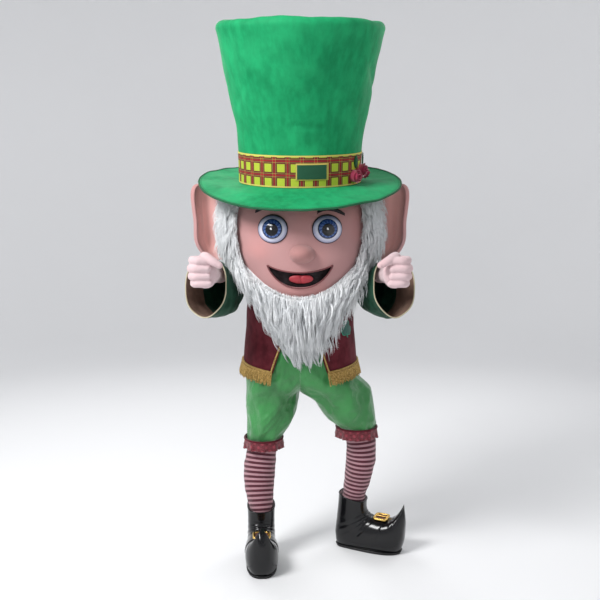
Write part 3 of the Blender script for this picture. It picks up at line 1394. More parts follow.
# Fur
HAIR_OFF, HAIR_PILE, TUFT_HAIRS = 5.4, 11, 2400
BEARD = table("along x top hem_x hem_y hem_z", [
    (0, 0, 1108, 8, -166, 872), (0.2, 62, 1120, 52, -166, 892), (0.4, 122, 1152, 104, -180, 952),
    (0.6, 170, 1192, 150, -208, 1030), (0.8, 208, 1228, 196, -238, 1108), (1, 232, 1250, 240, -214, 1186),
])
BEARD_TIERS = table("down_to off pile", [(1, 0, 14), (0.5, 18.4, 11)])


def beard_point(across, down, out):
    along, side = np.abs(across), np.where(across < 0, -1, 1)
    x, top, hem_x, hem_y, hem_z = (curve(BEARD, "along", name)(along)
                                   for name in ("x", "top", "hem_x", "hem_y", "hem_z"))
    root = on_face(side * x, top, 0.3 + out + 0 * x)
    hem = stack(side * hem_x, hem_y - out * 0.8, hem_z)
    down = np.asarray(down)[..., None]
    p = root + (hem - root) * down
    swell = 26 * sin(pi * np.minimum(down * 1.15, 1)) * (1 - along[..., None] * 0.55)
    return p - swell * np.array([0, 1, 0])


def flow_of(grid, reach, out=0.0, inward=0.0, lean=0.0):
    """Down the columns of a grid of points, in metres for each hair."""
    way = unit(np.gradient(grid, axis=0)) + outward(grid) * out
    way[..., 0] += lean - inward * grid[..., 0] / 250
    return unit(way) * np.asarray(reach)[..., None]


def build_beard():
    across, down = along_rows(-1, 1, 72), down_rows(0, 1, 26)
    for name, down_to, off, pile in zip(("lower", "upper"), *BEARD_TIERS.values()):
        place = np.broadcast_arrays(across, down * down_to)
        outer = beard_point(*place, off + 2 + (pile * 0.6 - 2) * ramp(place[1] * 7))
        inner = beard_point(*place, off + 0 * place[0])
        worn(wall(f"beard_{name}", outer, inner, "fur_ground"))
        raised = down - 0.05 * (1 - down)
        roots = beard_point(*np.broadcast_arrays(across, raised * down_to), off + pile * 0.6 + 0 * place[0])
        reach = sizes().lock * (0.62 + 0.38 * (1 - np.abs(place[0]))) * (0.72 + 0.28 * down)
        flow = flow_of(roots, reach * 1.08, 0.14, 0.3, 0.34 * place[1] ** 2)
        furred(f"beard_hair_{name}", roots, flow, 11 + len(name) + int(off), wave=0.042, lift=0.014,
               lock_size=0.02)


def build_hair():
    start = radians(52)
    turn = along_rows(start, 2 * pi - start, 110)
    share = down_rows(1, 0, 30)
    degrees = folded(turn)
    hem = np.where(degrees < 125, JAW_SIDE + 2, jaw(degrees) - 4)
    top = hat_seat_at(turn) - 44 - 20 * np.maximum(cos(turn), 0)
    z = hem + (top - hem) * share
    thick = 1.5 + (HAIR_PILE * 0.6 - 1.5) * ramp((degrees - 52) / 6)
    outer, inner = head_point(turn, z, HAIR_OFF + thick), head_point(turn, z, HAIR_OFF)
    worn(wall("head_hair", outer, inner, "fur_ground"))
    back = ramp(-cos(turn))
    front = bump(degrees, 54, 16) * (1 - share) ** 0.5
    reach = sizes().hair * (0.75 + 0.6 * back + 1.1 * front)
    for name, side in SIDES:
        low = down_rows(0, 1, 30)
        t = side * np.radians(np.linspace(48 - 7 * low[:, 0]**2, 58 + 6 * low[:, 0]**2, 12, axis=1))
        roots = head_point(t, 1478 - 282 * low, HAIR_OFF + 4 + 5 * low)
        flow = flow_of(roots, 0.05 + 0.028 * low + 0 * t, 0.2, 0.1)
        furred(f"side_tuft_{name}", roots, flow, 23 + side, wave=0.034, lift=0.012, count=TUFT_HAIRS)
    roots = head_point(turn, z + 30 * share**2, HAIR_OFF + thick)
    furred("head_hair_pile", roots, flow_of(roots, reach, 0.14), 31, wave=0.03, lift=0.011)


# Body
BODY = table("z side deep", [
    (850, 208, 161), (930, 208, 160), (1030, 205, 156), (1130, 193, 152), (1220, 183, 146),
    (1300, 178, 136), (1365, 166, 118), (1400, 128, 98), (1440, 80, 76),
])
body_side, body_deep = curve(BODY, "z", "side"), curve(BODY, "z", "deep")
ARMHOLE = (1297, 80, 76)
VEST_ARMHOLE = (1285, 104, 96)
CLOTH, VELVET, HALF_GAP, WAIST_Z = 1.6, 2, 0.15, 930


def on_body(turn, z, out=0.0):
    return stack((body_side(z) + out) * sin(turn), -(body_deep(z) + out) * cos(turn), z)


def armhole_turn(z, armhole, out=0.0):
    middle, high, deep = armhole
    rise = np.clip((z - middle) / high, -1, 1)
    half = deep * np.sqrt(1 - rise**2)
    return np.arccos(ramp((half + HALF_GAP) / (body_deep(z) + out)))


def build_shirt():
    z = np.concatenate([np.linspace(852, 1215, 34), 1297 - 80 * cos(np.linspace(0, pi, 26)),
                        np.linspace(1380, 1426, 8)])[:, None]
    share = along_rows(-1, 1, 64)
    for name, face in (("shirt_front", 1), ("shirt_back", -1)):
        def panel(out, z=z, face=face):
            return on_body(share * armhole_turn(z, ARMHOLE, out), z, out) * [1, face, 1]

        outer, inner = panel(0.0), panel(-CLOTH)
        fade = ((1 - share**2) ** 0.5 * ramp((1400 - z) / 80))[..., None]
        wave = ripple(outer * [1, 1, 0.4], 60, 21)[..., None] * fade * [0, 1.6, 0]
        worn(wall(name, outer + wave, inner + wave, "top_velvet"), cut=outer)
    neck = on_body(np.linspace(0, 2 * pi, 120, endpoint=False), 1427.0, -0.8)
    trim(hoop("neck_binding", neck, 2.6, "top_velvet"))


SLEEVE = table("x y z wide high", [
    (172, 0, 1297, 60, 66), (224, -2, 1250, 50, 62), (252, -8, 1195, 48, 68), (268, -32, 1145, 54, 78),
    (284, -84, 1117, 66, 90), (303, -142, 1117, 76, 99), (325, -202, 1129, 82, 107),
    (348, -262, 1145, 86, 116),
])
SLEEVE_ROWS, SLEEVE_COLUMNS = 84, 128


def sleeve_grid(side):
    centres = stack(SLEEVE["x"], SLEEVE["y"], SLEEVE["z"])
    rings = rings_along(centres, SLEEVE["wide"], SLEEVE["high"], SLEEVE_COLUMNS)
    turn = turns(SLEEVE_COLUMNS, 0)
    middle, high, deep = ARMHOLE
    z, y = middle + (high - 0.3) * cos(turn), -(deep - 0.7) * sin(turn)
    rings[0] = stack(body_side(z) * np.sqrt(np.maximum(1 - (y / body_deep(z)) ** 2, 0)), y, z)
    grid = drawn_out(rings, SLEEVE_ROWS)
    run = down_rows(0, 1, SLEEVE_ROWS)
    fade = ramp(run * 5) * np.clip((1 - run) * 7, 0.12, 1)
    elbow = 4.5 * sin(run * 74 + 1.3 * cos(turn)) * bump(run, 0.36, 0.17)
    elbow = elbow * (0.5 - 0.5 * cos(turn - 0.6))
    bell = 3.2 * sin(6 * turn + 5 * run) * ramp(run * 1.8 - 0.8)
    soft = ripple(grid, 75, 40 + side) * 2.6 * fade + elbow * fade + bell * np.clip((1 - run) * 7, 0.5, 1)
    return sided(moved(grid, soft, True), side)


def build_sleeves():
    for name, side in SIDES:
        grid = sleeve_grid(side)
        worn(wall(f"sleeve_{name}", grid, moved(grid, -VELVET, True), "top_velvet", loop=True),
             cut=grid, loop=True)
        start = SLEEVE_ROWS * 5 // 7
        face = moved(grid, -(VELVET + 0.6), True)[start:]
        inner = moved(grid, -(VELVET + 0.6 + CLOTH), True)[start:]
        worn(wall(f"sleeve_lining_{name}", face, inner, "lining", loop=True),
             cut=face, loop=True)
        hem = moved(grid, -VELVET / 2, True)[-1]
        trim(hoop(f"sleeve_hem_{name}", hem, 2.3, "hem_line"))
        stitched(f"sleeve_stitches_{name}", moved(grid, 0.3, True)[-5])


# Vest
VEST_OFF, VEST_HEM, VEST_RISE = 7, 796, 26
VEST_EDGE = table("z x", [(796, 106), (890, 74), (980, 34), (1050, 6), (1120, 2), (1250, 20), (1402, 76)])
vest_edge_x = curve(VEST_EDGE, "z", "x")


def vest_out(z):
    z = np.asarray(z, float)
    return VEST_OFF + 13 * ramp((960 - z) / 150) + 6 * ramp((z - 1330) / 40)


def vest_edge_turn(z):
    return np.arcsin(ramp(vest_edge_x(z) / (body_side(z) + vest_out(z))))


def vest_hem(share):
    return VEST_HEM + VEST_RISE * share


def vest_levels():
    armhole = 485 - 104 * cos(np.linspace(0, pi, 24))
    return np.concatenate([np.linspace(0, 376, 44), armhole, [594, 598]])[:, None]


def vest_waves(points, seed):
    """Soft upright folds of the velvet, deeper towards the hem."""
    low = np.clip((1150 - points[..., 2]) / 350, 0.1, 1)
    return (ripple(points * [1, 1, 0.35], 62, seed) * 1.7 + 0.5) * low


def vest_panel(name, turn, height, edge, seed, turned):
    """One panel of the vest by its turns and heights, with its folds fading at the edges."""
    folds = VELVET + vest_waves(on_body(turn, height, vest_out(height)), seed) * edge
    outer, inner = (on_body(turn, height, vest_out(height) + out) * turned for out in (folds, folds - VELVET))
    worn(wall(name, outer, inner, "vest_velvet"), cut=outer)


def build_vest():
    level = vest_levels()
    z = 800 + level
    end = armhole_turn(z, VEST_ARMHOLE, vest_out(z))
    near, free = ramp(1 - level / 70), ramp(level / 40)
    for name, side in SIDES:
        share = along_rows(0, 1, 46)
        turn = vest_edge_turn(z) + (end - vest_edge_turn(z)) * share
        vest_panel(f"vest_front_{name}", turn, z + (vest_hem(share) - 800) * near,
                   sin(pi * share) ** 0.4 * free, 51 + side, [side, 1, 1])
        height = np.linspace(803, 1060, 150)
        line = on_body(vest_edge_turn(height) + 0.03, height, vest_out(height) + VELVET + 2.5)
        worn(cord(f"vest_piping_{name}", sided(line, side), 3.2, "gold", 14, 3, 0.35))
        line = on_body(vest_edge_turn(height) + 0.075, height, vest_out(height) + VELVET + 0.5)
        stitched(f"vest_stitches_{name}", sided(line, side), "vest_velvet", 0.0008)
    share = along_rows(-1, 1, 90)
    vest_panel("vest_back", share * end, z + 22 * near + 0 * share, (1 - share**8) * free, 57, [1, -1, 1])


SHAMROCK_TURN, SHAMROCK_Z, SHAMROCK_RADIUS = 56, 962, 34


def on_vest(s, t, out):
    z = SHAMROCK_Z + t
    return on_body(radians(SHAMROCK_TURN) + s / 190, z, vest_out(z) + VELVET + 0.9 + out)


def build_shamrock():
    def outline(angle, r):
        leafed = 0.46 + 0.54 * np.abs(cos(1.5 * (angle - pi / 2))) ** 0.55
        notch = 1 - 0.1 * np.abs(cos(1.5 * (angle - pi / 2))) ** 30
        return (r * SHAMROCK_RADIUS * leafed * notch * cos(angle),
                r * SHAMROCK_RADIUS * leafed * notch * sin(angle))

    worn(pad("shamrock", on_vest, outline, "shamrock", columns=120, rows=10, thick=2.4, rise=1.2))
    turn = np.linspace(0, 2 * pi, 160)
    s, t = outline(turn, 0.9)
    stitched("shamrock_stitches", on_vest(s, t, 3.6), "leaf", 0.0007)
    s = 5 * np.linspace(0, 1, 12) ** 2
    t = -16 - 19 * np.linspace(0, 1, 12)
    trim(cord("shamrock_stem", on_vest(s, t, 1.6), 2.1, "shamrock"))


FRINGE_STRIP, FRINGE_LEAN = 12, 0.25


def front_fringe_line(side):
    def place(s, up, out):
        z = vest_hem(s) + up
        start = np.arcsin((vest_edge_x(VEST_HEM) - 2) / (body_side(z) + vest_out(z)))
        turn = start + 0.01 + (pi / 2 - 0.022 - start) * s
        return sided(on_body(turn, z, vest_out(z) + out), side)
    return place


def back_fringe_line(s, up, out):
    z = vest_hem(1) + up + 0 * s
    turn = (pi / 2 - 0.012) * (2 * s - 1)
    return on_body(turn, z, vest_out(z) + out) * [1, -1, 1]


def build_fringe():
    places = [(f"fringe_front_{name}", front_fringe_line(side), 90) for name, side in SIDES]
    places.append(("fringe_back", back_fringe_line, 180))
    for name, place, columns in places:
        s = np.linspace(0, 1, columns)
        part = down_rows(0, 1, 5)
        strip = [place(s[None, :], 7 - FRINGE_STRIP * part, VELVET + off + 2 * part) for off in (2.2, 0.6)]
        worn(wall(name, *strip, "gold"), cut=strip[0])
        for row, up in enumerate((5.5, -3.5)):
            line = place(s, up, VELVET + 4.4 + row)
            trim(cord(f"{name}_braid_{row}", line, 2.6, "gold", 14, 3, 0.4))
        for layer, (out, shift, fine) in enumerate(((3.4, 0.0, 1.0), (5.4, 0.5, 0.85))):
            line = place(np.linspace(0.004 + shift / 200, 0.996, columns), -5, VELVET + out)
            hung = line_object(f"{name}_strands_{layer}", line, away=unit(line * [1, 1, 0]) * FRINGE_LEAN)
            trim(grown(hung, fringe_tree, "gold", Pitch=sizes().fringe_pitch * fine, Drop=sizes().fringe,
                       Thickness=0.0021, Wave=0.012))


# Breeches
BREECHES = {
    "right": table("z x wide deep y", [
        (488, 150.5, 63, 66, -15), (512, 142, 74, 84, -14), (556, 128, 88, 103, -10), (605, 116, 99, 116, -6),
        (650, 114, 106, 124, -2), (690, 110, 108, 134, 0), (715, 98, 120, 146, 0), (760, 62, 156, 160, 0),
        (810, 26, 190, 169, 0), (930, 0, 210.4, 162.4, 0),
    ]),
    "left": table("z x wide deep y", [
        (530, 238.5, 64, 66, 5), (550, 230, 82, 84, 2), (578, 211, 97, 102, -2), (612, 196, 108, 114, -4),
        (655, 178, 119, 124, -2), (690, 147, 144, 134, 0), (715, 126, 155, 146, 0), (760, 66, 170, 160, 0),
        (810, 27, 191, 168, 0), (930, 0, 210.4, 162.4, 0),
    ]),
}
SATIN, FOLDS_ROUND, FOLD_DEEP, FOLD_SLANT = 1.6, 5, 6, 0.03


def breeches_grid(name, side, face):
    rows = BREECHES[name]
    steps = 110
    z, x, wide, deep, y = (c[:, None] for c in along_table(rows, "z x wide deep y", steps))
    index = np.linspace(0, len(rows["z"]) - 1, steps)[:, None]
    t = along_rows(0, 1, 84)
    angle = t * np.arccos(np.clip(-(x - HALF_GAP) / wide, -1, 1))
    fade = sin(pi * t) ** 0.5
    amount = FOLD_DEEP * sin(pi * ramp(index / 8)) * fade
    fold = amount * sin(FOLDS_ROUND * angle + FOLD_SLANT * z * side)
    flat = stack(x + wide * cos(angle), deep * sin(angle) * face, z)
    lean = stack(flat[..., 0] + 0.5 * z, flat[..., 1], z * 0.55 - 0.4 * flat[..., 0])
    sharp = 1 - np.hypot(ripple(lean, 105, 60 + 3 * side + face), 0.22)
    crush = 1 - np.hypot(ripple(lean, 46, 70 + 3 * side + face), 0.25)
    free = fade * ramp((WAIST_Z - z) / 60) * np.clip(index / 1.2, 0.15, 1)
    fold = fold + (sharp * 9 + crush * 3.5 - 5) * free
    px = np.maximum(x + (wide + fold) * cos(angle), HALF_GAP)
    py = y - (deep + fold) * sin(angle)
    seam = np.where((t == 0) | ((t == 1) & (x >= wide)), -HALF_GAP, 0.0)
    py = py + seam if face > 0 else 2 * y - py - seam
    return stack(side * px, py, z)


def build_breeches():
    for name, side in SIDES:
        for face_name, face in (("front", 1), ("back", -1)):
            grid = breeches_grid(name, side, face)
            inner = moved(grid, -SATIN)
            inner[..., 0] = side * np.maximum(side * inner[..., 0], HALF_GAP)
            inner[:, 0, 1] = grid[:, 0, 1]
            worn(wall(f"breeches_{face_name}_{name}", grid, inner, "satin satin_inside"),
                 cut=grid)
        seam = breeches_grid(name, side, 1)[4:-4, 0] + [side * 0.6, -1.2, 0]
        stitched(f"breeches_stitches_{name}", seam, "satin_inside", 0.0006)


CUFFS = table("x y top low wide deep", [(148, -16, 506, 464, 79, 89.8), (232, 3, 546, 502, 84.4, 86.6)])


def build_cuffs():
    for (name, side), x, y, top, low, wide, deep in zip(SIDES, *CUFFS.values()):
        turn = turns(240)[None, :]
        share = down_rows(0, 1, 20)
        ruffle = cos(20 * turn + 1.2 * share) * 2.2 * share**1.5
        out = -1 + 4.5 * share + (3.2 * share**0.8) * -cos(10 * turn) + ruffle
        z = top + (low - top) * share + 2.4 * np.abs(sin(15 * turn)) * share**6
        grid = stack(side * (x + (wide + out) * cos(turn)), y + (deep + out) * sin(turn), z)
        worn(wall(f"knee_cuff_{name}", grid, moved(grid, -CLOTH, True), "lace", loop=True),
             cut=grid, loop=True)
        edge = moved(grid, -CLOTH / 2, True)[-1]
        trim(hoop(f"knee_cuff_edge_{name}", edge, 1.5, "lace"))
        band = moved(grid, 0.8, True)[2]
        trim(hoop(f"knee_cuff_gather_{name}", band, 2.4, "vest_velvet"))


STOCKINGS = {
    "right": table("x y z wide high", [
        (-149, -14.5, 500, 58.8, 60.8), (-158, -18, 440, 61, 63), (-166, -20, 360, 64, 66),
        (-167, -28, 290, 60, 61), (-160, -38, 215, 48, 47), (-157, -44, 140, 43, 44), (-154, -66, 84, 42, 50),
        (-149, -128, 66, 44, 42), (-142, -204, 60, 34, 30),
    ]),
    "left": table("x y z wide high", [
        (236, 4, 542, 58, 60), (252, 12, 470, 57, 60), (252, 26, 390, 58, 61), (240, 46, 300, 52, 54),
        (227, 70, 215, 46.8, 45.8), (224, 76, 140, 43.8, 43.8), (244, 70, 84, 42, 50), (302, 47, 66, 44, 42),
        (372, 20, 60, 34, 30),
    ]),
}
KNIT = 1.4


def build_stockings():
    for name, side in SIDES:
        rows = STOCKINGS[name]
        across = (1, 0, 0) if name == "right" else (0.37 / 1.0009, 0.93 / 1.0009, 0)
        centres = stack(rows["x"], rows["y"], rows["z"])
        grid = drawn_out(rings_along(centres, rows["wide"], rows["high"], 72, across), 110)
        run = down_rows(0, 1, 110)
        calm = ramp(run * 8) * ramp((0.62 - run) * 9)
        grid = moved(grid, ripple(grid * [1, 1, 1.6], 70, 80 + side) * 1.3 * calm, True)
        end = grid[-1].mean(axis=0)
        tip = end + (grid[-6].mean(axis=0) - end) * 0.05
        uv = measured(grid, True)
        ring = closed_round(grid)
        forward = -(ring[..., 1] - ring[..., 1].mean(axis=1, keepdims=True)) / 60
        uv[..., 1] += 0.013 * forward * ramp((0.7 - run) * 6)
        thing = wall(f"stocking_{name}", grid, moved(grid, -KNIT, True), "knit", loop=True,
                     tips=[end, tip], uv=uv)
        worn(thing, cut=grid, loop=True)


# Boots
BOOT = table("top_s top_z low_s low_z wide", [
    (132, 206, 16, 234, 56), (130, 180, 11, 172, 55), (134, 160, 5, 112, 55), (146, 148, 0, 54, 56),
    (164, 141, 12, 4, 57), (184, 138, 66, -6, 60), (206, 136, 126, -6, 64), (228, 138, 186, -6, 66),
    (250, 148, 238, -6, 62), (268, 165, 276, 4, 50), (282, 186, 296, 50, 34), (290, 200, 302, 120, 18),
])
BOOT_TIP_S, BOOT_TIP_Z, SOLE, VINYL = 295, 212, 8, 2.4
FEET = {"right": (-164, 38, 0.06, -1), "left": (157, 99, 0.93, -0.37)}
BOOT_ROWS, BOOT_COLUMNS = 100, 96


def boot_frame(name):
    x, y, ahead_x, ahead_y = FEET[name]
    far = math.hypot(ahead_x, ahead_y)
    ax, ay = ahead_x / far, ahead_y / far
    return lambda s, across, z: stack(x + s * ax - across * ay, y + s * ay + across * ax, z)


def squared(v):
    return np.sign(v) * np.abs(v) ** 0.8


def boot_section(name, row, turn, inset=0.0):
    """The boot's wall at a place along its table of sections, and how far round."""
    at = boot_frame(name)
    top_s, top_z, low_s, low_z, wide = at_rows(BOOT, "top_s top_z low_s low_z wide", row)
    long = np.hypot(top_s - low_s, top_z - low_z) / 2
    c = squared(cos(turn)) * (long - inset) / long
    s = (top_s + low_s) / 2 + (top_s - low_s) / 2 * c
    z = (top_z + low_z) / 2 + (top_z - low_z) / 2 * c
    return at(s, (wide - inset) * squared(sin(turn)), np.maximum(z, SOLE + 0.3 + inset))


def on_boot(name):
    def at(along, around, out):
        turn = np.asarray(around) / 12 * 2 * pi
        p = boot_section(name, along, turn)
        middle = (boot_section(name, along, 0 * turn) + boot_section(name, along, 0 * turn + pi)) / 2
        return p + unit(p - middle) * np.asarray(out)[..., None]
    return at


def boot_grid(name, inset, first=0.0, last=11.0, rows=BOOT_ROWS):
    row = down_rows(first, last, rows)
    turn = turns(BOOT_COLUMNS)[None, :]
    grid = boot_section(name, row, turn, inset)
    crease = sin(row * 9 + 0.6 * sin(2 * turn)) * bump(row, 2.9, 1.1) * 1.3 * (0.6 + 0.4 * cos(turn))
    crease = crease + sin(row * 6.5) * bump(row, 8.1, 0.8) * 0.8 * ramp(cos(turn))
    crease = crease * (grid[..., 2] > SOLE + 14)
    return moved(grid, crease, True)


def build_boots():
    for name, _ in SIDES:
        at = boot_frame(name)
        outer, inner = boot_grid(name, 0.0), boot_grid(name, VINYL)
        tips = [at(BOOT_TIP_S, 0, BOOT_TIP_Z), at(BOOT_TIP_S - 1, 0, BOOT_TIP_Z - 12)]
        worn(wall(f"boot_{name}", outer, inner, "vinyl", loop=True, tips=tips),
             cut=outer, loop=True)
        collar = boot_grid(name, VINYL / 2)[0]
        trim(hoop(f"boot_collar_{name}", collar, 2.8, "vinyl"))
        face, back = (boot_grid(name, VINYL + 0.5 + extra, 0.0, 2.0, 26) for extra in (0, CLOTH))
        worn(wall(f"boot_lining_{name}", face, back, "boot_lining", loop=True),
             cut=face, loop=True)
        build_sole(name, at)
        build_strap(name)
        row = np.linspace(4.2, 9.5, 60)
        for edge, turn in (("outer", 1.95), ("inner", -1.95)):
            line = on_boot(name)(row, 12 * turn / (2 * pi) + 0 * row, 0.6)
            stitched(f"boot_seam_{edge}_{name}", line, "thread", 0.0008)


SOLE_MIDDLE, SOLE_REACH = 145, 139
SOLE_HALF = table("s wide", [
    (6, 26), (22, 42), (70, 49), (126, 54), (186, 58), (238, 54), (270, 40), (284, 22)])


def build_sole(name, at):
    share = np.linspace(0, pi, 60)
    s = SOLE_MIDDLE - SOLE_REACH * cos(share)
    wide = curve(SOLE_HALF, "s", "wide")(s) * sin(share) ** 0.18
    s, across = np.concatenate([s, s[::-1][1:-1]]), np.concatenate([wide, -wide[::-1][1:-1]])
    levels = np.array([0.0, 1.2, 6.8, SOLE])[:, None]
    less = np.array([1.2, 0, 0, 1.2])[:, None] / 60
    rings = at(SOLE_MIDDLE + (s - SOLE_MIDDLE) * (1 - less), across * (1 - less), levels)
    worn(filled(f"sole_{name}", rings, "rubber"))
    welt = at(SOLE_MIDDLE + (s - SOLE_MIDDLE) * 1.005, across * 1.02, SOLE + 1.2 + 0 * s)
    trim(hoop(f"welt_{name}", welt, 2.6, "rubber"))


def build_strap(name):
    at = on_boot(name)
    along = down_rows(4.6, 6.6, 20)
    around = along_rows(-3, 3, 64)
    rounded = 1 - np.abs(2 * down_rows(0, 1, 20) - 1) ** 6
    outer = at(along, around + 0 * along, 1.6 + 1.8 * rounded + 0 * around)
    inner = at(along, around + 0 * along, 1.2 + 0 * along + 0 * around)
    worn(wall(f"strap_{name}", outer, inner, "vinyl"), cut=outer)
    low, high = (at(np.array(a), np.array(0.0), np.array(3.65)) for a in (4.5, 6.7))
    middle = (low + high) / 2
    ahead = unit(high - low)
    across = unit(np.cross(ahead, [0, 0, 1]))
    up = np.cross(across, ahead)
    turn = turns(96, 0)

    def ring(inset, lift):
        def corner(v):
            return np.sign(v) * np.abs(v) ** 0.36
        return (middle + np.outer(corner(cos(turn)) * (31 - inset), ahead)
                + np.outer(corner(sin(turn)) * (36 - inset), across) + up * lift)

    profile = ((0, 0.4), (0, 3.6), (0.7, 4.9), (2.2, 5.6), (5.5, 6.0))
    outer = np.stack([ring(inset, lift) for inset, lift in profile])
    inner = np.stack([ring(11 - inset, lift) for inset, lift in profile])
    worn(wall(f"buckle_{name}", outer, inner, "buckle", loop=True))
    inset = np.stack([ring(10, lift) for lift in (0.6, 2.0)])
    plate = filled(f"buckle_inset_{name}", inset, "buckle_inset")
    trim(plate)
    bar = down_rows(-27, 27, 12)
    trim(cord(f"buckle_prong_{name}", middle + bar * ahead + up * 5.2, 2.4, "buckle"))


# Gloves
HAND = np.array([336, -352, 1206])
DIGITS = table("lift size out", [(43, 1, 0), (15, 1.05, 5), (-13, 1, 3), (-39, 0.88, -3)])
FINGER = table("x y", [(28, 16), (45, -12), (28, -42), (-14, -42)])
THUMB = table("x y z", [(10, 10, 44), (0, -22, 56), (-24, -44, 44), (-54, -50, 28)])
WRIST = table("x y z r", [(0, 0, -6, 38), (-8, 40, -12, 34), (-16, 100, -18, 32), (-28, 190, -21, 34.6)])
CUFF_END = (-31, 212, -22, 35.2)
CUFF_WAY = np.array([-0.135, 0.99, -0.045])
HAND_ACROSS = (0.19, 0.29, 0.94)
GLOVE_WALL, DIGIT = 2.4, 15


def finger_tube(name, centres, radii):
    """A stuffed finger with a round tip."""
    route = drawn_out(np.column_stack([centres, radii]), 26)
    tip = route[-1]
    way = unit((tip - route[-2])[:3])
    cap = [np.append(tip[:3] + way * tip[3] * sin(a), tip[3] * cos(a)) for a in (0.5, 0.95, 1.3)]
    route = np.concatenate([route, cap])
    rings = rings_along(route[:, :3], route[:, 3], route[:, 3], 24, HAND_ACROSS)
    return filled(name, rings, "glove")


def palm_and_wrist(name, inset):
    height = sin(np.linspace(-1.35, 1.35, 18))[:, None]
    turn = turns(40, 0)[None, :]
    wide = np.sqrt(1 - height**2)
    palm = stack((41 * wide - inset * wide) * cos(turn), (42 - inset) * wide * sin(turn),
                 (60 - inset) * height)
    rows = np.column_stack(list(WRIST.values()))
    rows = np.vstack([rows, CUFF_END]) if inset else rows
    route = drawn_out(rows, 30)
    wrist = rings_along(route[:, :3], route[:, 3] - inset, route[:, 3] - inset, 48, HAND_ACROSS)
    return [filled(f"{name}_palm", palm, "glove"), filled(f"{name}_wrist", wrist, "glove")]


def melted(name, parts, voxel, rounds):
    """Joins overlapping solids into one smooth skin."""
    target = parts[0]
    with bpy.context.temp_override(active_object=target, selected_editable_objects=parts, object=target):
        bpy.ops.object.join()
    target.name = name
    remesh = target.modifiers.new("Skin", "REMESH")
    remesh.mode = "VOXEL"
    remesh.voxel_size = voxel
    remesh.use_smooth_shade = True
    soft = target.modifiers.new("Soft", "SMOOTH")
    soft.factor = 0.5
    soft.iterations = rounds
    return settled(target)


def build_gloves():
    fingers = []
    for index, (lift, size, out) in enumerate(zip(*DIGITS.values())):
        thick = DIGIT * size * 1.04
        centres = stack(FINGER["x"] + out, FINGER["y"], lift)
        fingers.append(finger_tube(f"finger_{index}", centres, [thick, thick, thick, thick * 0.85]))
    thumb = stack(THUMB["x"], THUMB["y"], THUMB["z"])
    fingers.append(finger_tube("thumb", thumb, [DIGIT * part for part in (1.2, 1.16, 1.08, 0.8)]))
    hand = melted("glove_left", fingers + palm_and_wrist("hand", 0), 0.0026, 3)
    hollow = melted("glove_hollow", palm_and_wrist("hollow", GLOVE_WALL), 0.0032, 2)
    carved(hand, hollow)
    points = np.empty(len(hand.data.vertices) * 3)
    hand.data.vertices.foreach_get("co", points)
    points = points.reshape(-1, 3) + HAND * MM
    points = points + ripple(points * 1000, 26, 91)[:, None] * 0.0004
    for name, side in SIDES:
        mesh = hand.data if side > 0 else hand.data.copy()
        mesh.vertices.foreach_set("co", (points * [side, 1, 1]).ravel())
        if side < 0:
            mesh.flip_normals()
        mesh.materials.clear()
        mesh.materials.append(finish("glove"))
        mesh.polygons.foreach_set("material_index", [0] * len(mesh.polygons))
        mesh.polygons.foreach_set("use_smooth", [True] * len(mesh.polygons))
        mesh.update()
        glove = hand if side > 0 else linked("glove_right", mesh)
        worn(glove)
        low = HAND + CUFF_END[:3] - CUFF_WAY * 21
        radius = [CUFF_END[3]] * 3
        ring = rings_along(np.stack([low - CUFF_WAY, low, low + CUFF_WAY]), radius, radius, 64, HAND_ACROSS)
        trim(hoop(f"glove_hem_{name}", sided(ring[1], side), 2.0, "glove"))


# Stage
FLOOR_Z, FLOOR_FLAT, FLOOR_BEND, FLOOR_HIGH, FLOOR_COLUMNS = -1.36, 4.4, 2.2, 4.2, 96
WORLD_TINT, WORLD_STRENGTH = (0.95, 0.97, 1.0, 1), 0.46
LIT_POINT = (0, 0, -0.3)
CAMERA_AT, CAMERA_DOWN, CAMERA_LENS, CAMERA_SENSOR = (0, -3.2, 0.09), 6.9, 48, 36
LIGHTS = table("x y z wide watts", [
    (-2.5, -2.2, 2.7, 1.5, 200), (2.8, -2.6, 0.6, 2.4, 5), (-1.2, 2.6, 1.8, 1.8, 30), (2.2, 2.2, 1.6, 1.6, 24),
])


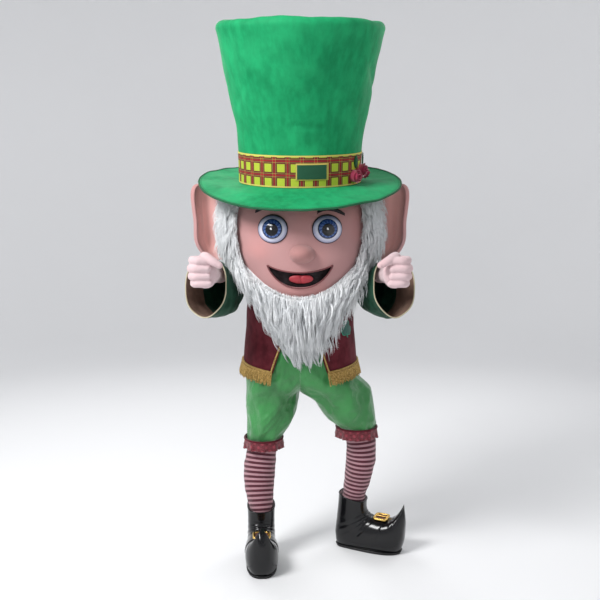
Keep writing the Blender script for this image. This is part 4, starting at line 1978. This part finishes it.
def build_stage():
    bend = np.linspace(0, pi / 2, 12)
    far = np.concatenate([[0.01, 2, 4], FLOOR_FLAT + FLOOR_BEND * sin(bend), [FLOOR_FLAT + FLOOR_BEND]])
    up = np.concatenate([[0, 0, 0], FLOOR_BEND - FLOOR_BEND * cos(bend), [FLOOR_HIGH]])
    turn = turns(FLOOR_COLUMNS, 0)
    points = stack(np.outer(far, cos(turn)), np.outer(far, sin(turn)), (FLOOR_Z + up)[:, None])
    faces = cells(len(far), FLOOR_COLUMNS, True) + [list(range(FLOOR_COLUMNS))[::-1]]
    mesh = bpy.data.meshes.new("floor")
    mesh.from_pydata(points.reshape(-1, 3).tolist(), [], faces)
    mesh.polygons.foreach_set("use_smooth", [True] * len(mesh.polygons))
    mesh.materials.append(finish("floor"))
    linked("floor", mesh)
    world = bpy.data.worlds.new("Studio")
    world.use_nodes = True
    world.node_tree.nodes["Background"].inputs["Color"].default_value = WORLD_TINT
    world.node_tree.nodes["Background"].inputs["Strength"].default_value = WORLD_STRENGTH
    bpy.context.scene.world = world
    for index, (x, y, z, wide, watts) in enumerate(zip(*LIGHTS.values())):
        lamp = bpy.data.lights.new(f"softbox_{index}", "AREA")
        lamp.shape = "SQUARE"
        lamp.size = wide
        lamp.energy = watts
        thing = linked(lamp.name, lamp)
        thing.location = (x, y, z)
        thing.rotation_euler = (Vector(LIT_POINT) - thing.location).to_track_quat("-Z", "Y").to_euler()
    camera = linked("camera", bpy.data.cameras.new("camera"))
    camera.data.lens = CAMERA_LENS
    camera.data.sensor_width = CAMERA_SENSOR
    camera.location = CAMERA_AT
    camera.rotation_euler = (radians(90 - CAMERA_DOWN), 0, 0)
    bpy.context.scene.camera = camera
    bpy.context.scene.view_settings.view_transform = "Standard"


# Operators, panel and start
STEPS = (
    ("hat", "Hat", "Crown, brim, tartan band and window", (build_crown, build_brim, build_band)),
    ("hat_flowers", "Hat flowers", "Ribbon roses and leaves", (build_roses, build_leaves)),
    ("head", "Head", "Foam head, mouth and tongue", (build_head, build_mouth)),
    ("face", "Face", "Eyes, irises, brows and nose", (build_face,)),
    ("ears", "Ears", "Cupped ears", (build_ears,)),
    ("fur", "Hair and beard", "Fur of the head and the two tiers of the beard", (build_hair, build_beard)),
    ("top", "Top", "Green velvet top and bell sleeves", (build_shirt, build_sleeves)),
    ("vest", "Vest", "Burgundy vest, piping and shamrock", (build_vest, build_shamrock)),
    ("fringe", "Fringe", "Gold fringe on the hems of the vest", (build_fringe,)),
    ("breeches", "Breeches", "Satin knee breeches and lace cuffs", (build_breeches, build_cuffs)),
    ("stockings", "Stockings", "Striped knitted stockings", (build_stockings,)),
    ("boots", "Boots", "Vinyl boots, straps and buckles", (build_boots,)),
    ("gloves", "Gloves", "Closed gloves", (build_gloves,)),
    ("stage", "Stage", "Floor, lights and camera", (build_stage,)),
)


def operator_class(key, label, text, builders):
    def execute(self, context):
        for builder in builders:
            builder()
        return {"FINISHED"}
    return type(f"COSTUME_OT_{key}", (bpy.types.Operator,), {
        "__doc__": text, "bl_idname": f"costume.{key}", "bl_label": label, "execute": execute})


OPERATORS = tuple(operator_class(*step) for step in STEPS)


class COSTUME_PT_panel(bpy.types.Panel):
    """Sizes, colours and steps of the costume"""
    bl_label = "Leprechaun costume"
    bl_space_type = "VIEW_3D"
    bl_region_type = "UI"
    bl_category = "Costume"

    def draw(self, context):
        for group in (context.scene.costume_sizes, context.scene.costume_colours):
            column = self.layout.column()
            for name in group.bl_rna.properties.keys():
                if name not in ("rna_type", "name"):
                    column.prop(group, name)
        for key, *_ in STEPS:
            self.layout.operator(f"costume.{key}")


CLASSES = (CostumeSizes, CostumeColours, *OPERATORS, COSTUME_PT_panel)


def register():
    for item in CLASSES:
        bpy.utils.register_class(item)
    bpy.types.Scene.costume_sizes = bpy.props.PointerProperty(type=CostumeSizes)
    bpy.types.Scene.costume_colours = bpy.props.PointerProperty(type=CostumeColours)


def unregister():
    del bpy.types.Scene.costume_colours
    del bpy.types.Scene.costume_sizes
    for item in reversed(CLASSES):
        bpy.utils.unregister_class(item)


def main():
    register()
    for key, *_ in STEPS:
        getattr(bpy.ops.costume, key)()
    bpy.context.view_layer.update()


if __name__ == "__main__":
    main()
